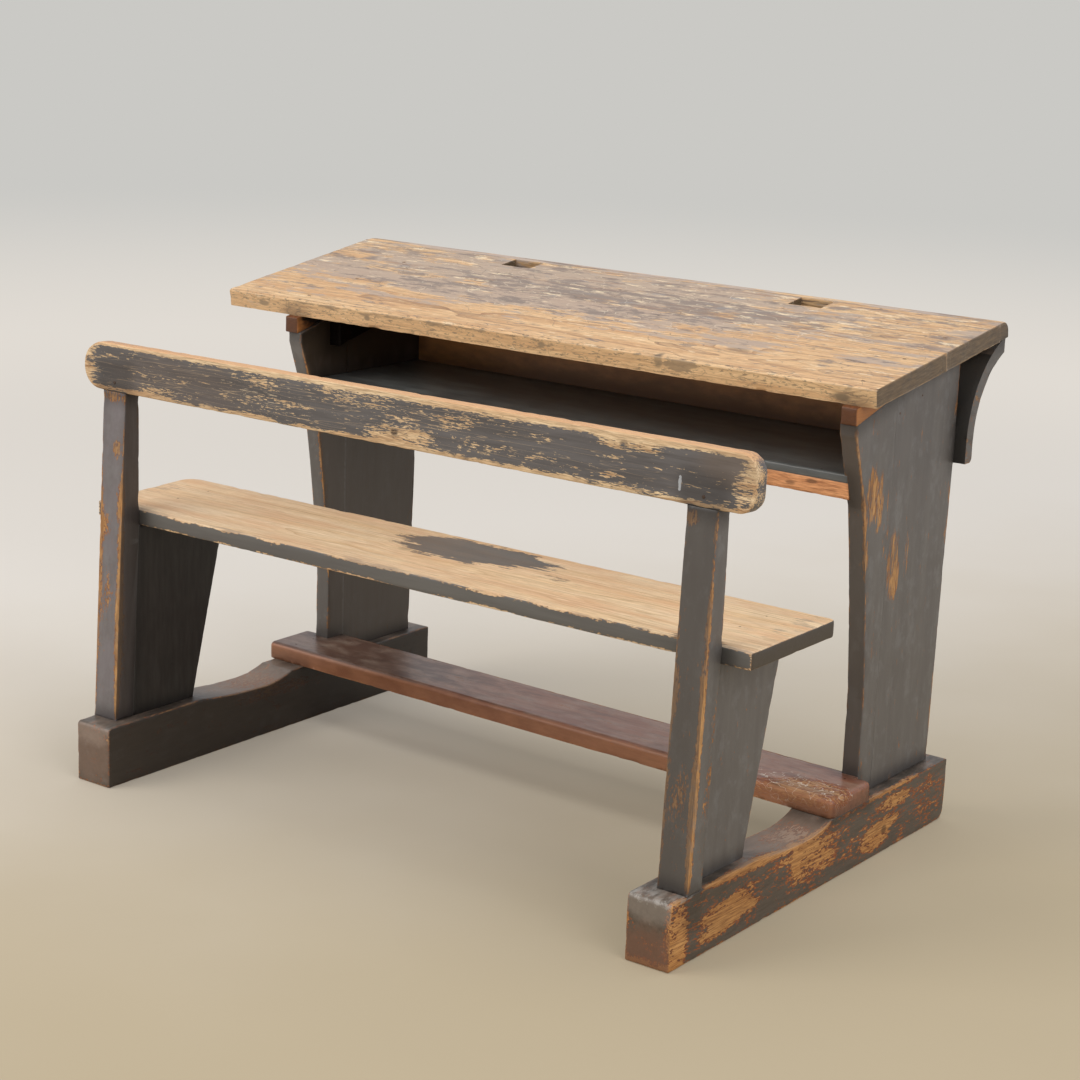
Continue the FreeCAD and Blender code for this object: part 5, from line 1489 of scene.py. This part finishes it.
def browned_iron(title, dark, brown, bloom):
    """Old wrought iron: a dark scale with spots of dry rust, rough where it rusts."""
    material, tree = start_tree(title)
    spot = add(tree, "Attribute", {"attribute_name": "grain"}, {}).outputs["Vector"]
    scale = add(tree, "TexNoise", {},
                {"Vector": spot, "Scale": SCALE_SPOTS, "Detail": 5.0, "Roughness": 0.65})
    rust = add(tree, "MapRange", SOFT, {0: scale, 1: RUST_STARTS, 2: RUST_COVERS})
    colour = add(tree, "Mix", COVER, {0: rust, 6: linear(dark), 7: linear(brown)})
    fine = add(tree, "TexNoise", {}, {"Vector": spot, "Scale": POWDER_SPOTS, "Detail": 3.0})
    powder = add(tree, "MapRange", {}, {0: fine, 1: 0.55, 2: 0.75, 3: 0.0, 4: 0.5})
    colour = add(tree, "Mix", COVER, {0: powder, 6: colour, 7: linear(bloom)})
    rough = add(tree, "MapRange", {}, {0: rust, 1: 0.0, 2: 1.0, 3: 0.48, 4: 0.85})
    metal = add(tree, "MapRange", {}, {0: rust, 1: 0.0, 2: 1.0, 3: 0.75, 4: 0.05})
    dents = add(tree, "Bump", {}, {"Strength": 0.6, "Distance": HEAD_DENTS, "Height": scale})
    shader = add(tree, "BsdfPrincipled", {},
                 {"Base Color": colour, "Roughness": rough, "Metallic": metal, "Normal": dents})
    add(tree, "OutputMaterial", {}, {"Surface": shader})
    return material


forged = browned_iron("browned_wrought_iron", "#3a2f28", "#6b4630", "#8a5c3c")
handled = browned_iron("iron_nails_rubbed_under_dirt", "#6a5542", "#8a6a4a", "#9c7c58")
print("irons:", forged.name, "and", handled.name)

# %% [markdown]
# ## Peg ends
# A peg's end is sawn and planed hardwood. End grain soaks up every stain, so it is nearly as dark as
# the dirt around it, with rings round the peg's heart and black pores between them. The rings are
# drawn about 1 mm apart, somewhat wider than they are.

# %% Peg wood
PEG_RINGS = 260.0
PEG_PORES = (0.0080, 0.0005, 0.0005)
PEG_PITS = 0.0003
PLANED_ROUGH = 0.62


def split_peg(title):
    """Dark hardwood: end grain in rings round the peg's heart, with pores."""
    material, tree = start_tree(title)
    spot = add(tree, "Attribute", {"attribute_name": "grain"}, {}).outputs["Vector"]
    rings = add(tree, "TexWave", {"wave_type": "RINGS", "rings_direction": "X"},
                {"Vector": spot, "Scale": PEG_RINGS, "Distortion": 2.5, "Detail": 2.0, "Detail Scale": 1.5})
    colour = add(tree, "Mix", COVER, {0: rings, 6: linear("#2f2118"), 7: linear("#4e3725")})
    pores = streaks(tree, spot, PEG_PORES, 3.0, 2)
    deep = add(tree, "MapRange", {}, {0: pores, 1: 0.60, 2: 0.72, 3: 0.0, 4: 0.8})
    colour = add(tree, "Mix", COVER, {0: deep, 6: colour, 7: linear("#17100b")})
    pitted = add(tree, "Bump", {}, {"Strength": 0.5, "Distance": PEG_PITS, "Height": pores})
    shader = add(tree, "BsdfPrincipled", {},
                 {"Base Color": colour, "Roughness": PLANED_ROUGH, "Normal": pitted})
    add(tree, "OutputMaterial", {}, {"Surface": shader})
    return material


peg_wood = split_peg("split_hardwood_pegs")
for name in FASTENERS:
    is_nail = name.endswith("nails")
    piece = turned_fasteners(name, is_nail)
    iron = handled if name in ("seat_nails", "top_nails") else forged
    piece.data.materials.append(iron if is_nail else peg_wood)
print("fasteners turned:", len(lines), "in", len(FASTENERS), "pieces")

# %% [markdown]
# ## The floor
# The floor is smooth painted concrete, drawn as one wide flat disc whose colour pales into the grey of
# a backdrop. It is beige near the desk and towards its front right, which is partly the floor's colour
# and partly a painted shadow of the desk, and it pales outwards. The colour follows the distance from
# the desk and one direction, with a soft cloudy noise, so there are no seams to see. Near the desk the
# floor is mostly diffuse and keeps the shadow, but for the camera alone about a quarter of its colour
# is added as light there, which lightens the desk's shadow: painted light. Further out the share grows
# to all of it, because a real backdrop is lit by lamps of its own that would be costly to place here.

# %% Floor
FLOOR_RADIUS = 90.0
# the tint pales this way and deepens towards the desk's front right: partly floor colour, partly painted
# shadow
PALER_TOWARD = (-0.95, 0.54, 0.0)
CLOUDS = 1.3
CLOUD_SWAY = 0.45
PAINT_REFLECTS = (0.94, 0.94, 0.94, 1.0)

# where each change starts and ends, in metres from the desk's middle
PALING = (-1.0, 1.8)
BEIGE_ENDS = (1.5, 3.2)
HORIZON = (3.5, 9.0)
GLOW_GROWS = (1.6, 4.5)
# share of glow near the desk, seen only by the camera: it lightens the desk's shadow, painted light
SHADOW_LIFTING_GLOW = 0.26

floor_mesh = bmesh.new()
bmesh.ops.create_circle(floor_mesh, cap_ends=True, radius=FLOOR_RADIUS, segments=96)
floor_data = bpy.data.meshes.new("studio_floor")
floor_mesh.to_mesh(floor_data)
floor_mesh.free()
floor = bpy.data.objects.new("studio_floor", floor_data)
bpy.context.scene.collection.objects.link(floor)

floor_paint, tree = start_tree("painted_concrete_floor")
where = add(tree, "TexCoord", {}, {}).outputs["Object"]
away = add(tree, "VectorMath", {"operation": "LENGTH"}, {0: where})
slope = add(tree, "VectorMath", {"operation": "DOT_PRODUCT"}, {0: where, 1: PALER_TOWARD})
cloudy = add(tree, "TexNoise", {}, {"Vector": where, "Scale": CLOUDS, "Detail": 5.0})
uneven = add(tree, "Math", TIMES_PLUS, {0: cloudy, 1: 2 * CLOUD_SWAY, 2: -CLOUD_SWAY})
drift = add(tree, "Math", {}, {0: slope, 1: uneven})
paling = add(tree, "MapRange", SOFT, {0: drift, 1: PALING[0], 2: PALING[1]})
reach = add(tree, "MapRange", SOFT, {0: away, 1: BEIGE_ENDS[0], 2: BEIGE_ENDS[1]})
paling = add(tree, "Math", {"operation": "MAXIMUM"}, {0: paling, 1: reach})
tint = add(tree, "Mix", COVER, {0: paling, 6: linear("#bdae93"), 7: linear("#e2dcd4")})
horizon = add(tree, "MapRange", SOFT, {0: away, 1: HORIZON[0], 2: HORIZON[1]})
tint = add(tree, "Mix", COVER, {0: horizon, 6: tint, 7: linear("#cac9c5")})
albedo = add(tree, "Mix", STAIN, {0: 1.0, 6: tint, 7: PAINT_REFLECTS})
lit = add(tree, "BsdfDiffuse", {}, {"Color": albedo})
glow = add(tree, "Emission", {}, {"Color": tint, "Strength": 1.0})
seen = add(tree, "LightPath", {}, {}).outputs["Is Camera Ray"]
fade = add(tree, "MapRange", SOFT, {0: away, 1: GLOW_GROWS[0], 2: GLOW_GROWS[1], 3: SHADOW_LIFTING_GLOW, 4: 1.0})
share = add(tree, "Math", TIMES, {0: fade, 1: seen})
both = add(tree, "MixShader", {}, {0: share, 1: lit, 2: glow})
add(tree, "OutputMaterial", {}, {"Surface": both})
floor_data.materials.append(floor_paint)
print("floor disc of radius", FLOOR_RADIUS, "m")

# %% [markdown]
# ## The light
# The light is that of a studio: one large soft lamp at the front left, a weaker one at the front
# right, a wide one overhead, and a pale world all round. Large lamps give soft shadows with no edge
# and show worn arrises as thin bright lines. Their powers are set so that a mid grey comes out as it
# is written. The camera sees the world in the backdrop's own grey, and everything else sees it whiter.

# %% Light
WORLD_STRENGTH = 0.68

world = bpy.data.worlds.new("studio")
world.use_nodes = True
tree = world.node_tree
tree.nodes.clear()
plain = add(tree, "Background", {}, {"Color": linear("#f4f6fa"), "Strength": WORLD_STRENGTH})
shown = add(tree, "Background", {}, {"Color": linear("#cbcac8"), "Strength": 1.0})
eye = add(tree, "LightPath", {}, {}).outputs["Is Camera Ray"]
pick = add(tree, "MixShader", {}, {0: eye, 1: plain, 2: shown})
add(tree, "OutputWorld", {}, {"Surface": pick})
bpy.context.scene.world = world
bpy.context.scene.view_settings.view_transform = "Standard"

# name, place, width and depth in metres, watts and colour
LAMPS = (
    ("key", (-2.6, -3.4, 3.6), (3.0, 3.0), 105.0, "#fffaf2"),
    ("fill", (3.8, -1.4, 2.4), (2.4, 2.4), 55.0, "#f8faff"),
    ("overhead", (0.0, 0.4, 4.4), (4.0, 4.0), 62.0, "#fffdf8"),
)
AIM = Vector((0, 0, 0.45))
for title, spot, size, power, colour in LAMPS:
    lamp = bpy.data.lights.new(title, "AREA")
    lamp.shape = "RECTANGLE"
    lamp.size, lamp.size_y = size
    lamp.energy = power
    lamp.color = linear(colour)[:3]
    holder = bpy.data.objects.new(title, lamp)
    holder.location = spot
    holder.rotation_euler = (AIM - Vector(spot)).to_track_quat("-Z", "Y").to_euler()
    bpy.context.scene.collection.objects.link(holder)
print("lamps:", len(LAMPS), "with", sum(power for _, _, _, power, _ in LAMPS), "watts in all")

# %% [markdown]
# ## Clearing up
# The dressed desk has to stay inside the box of the CAD frame, since dents and worn arrises only take
# wood away. The spare object that the bevel sat on is removed.

# %% Spare removed
bpy.data.objects.remove(spare)
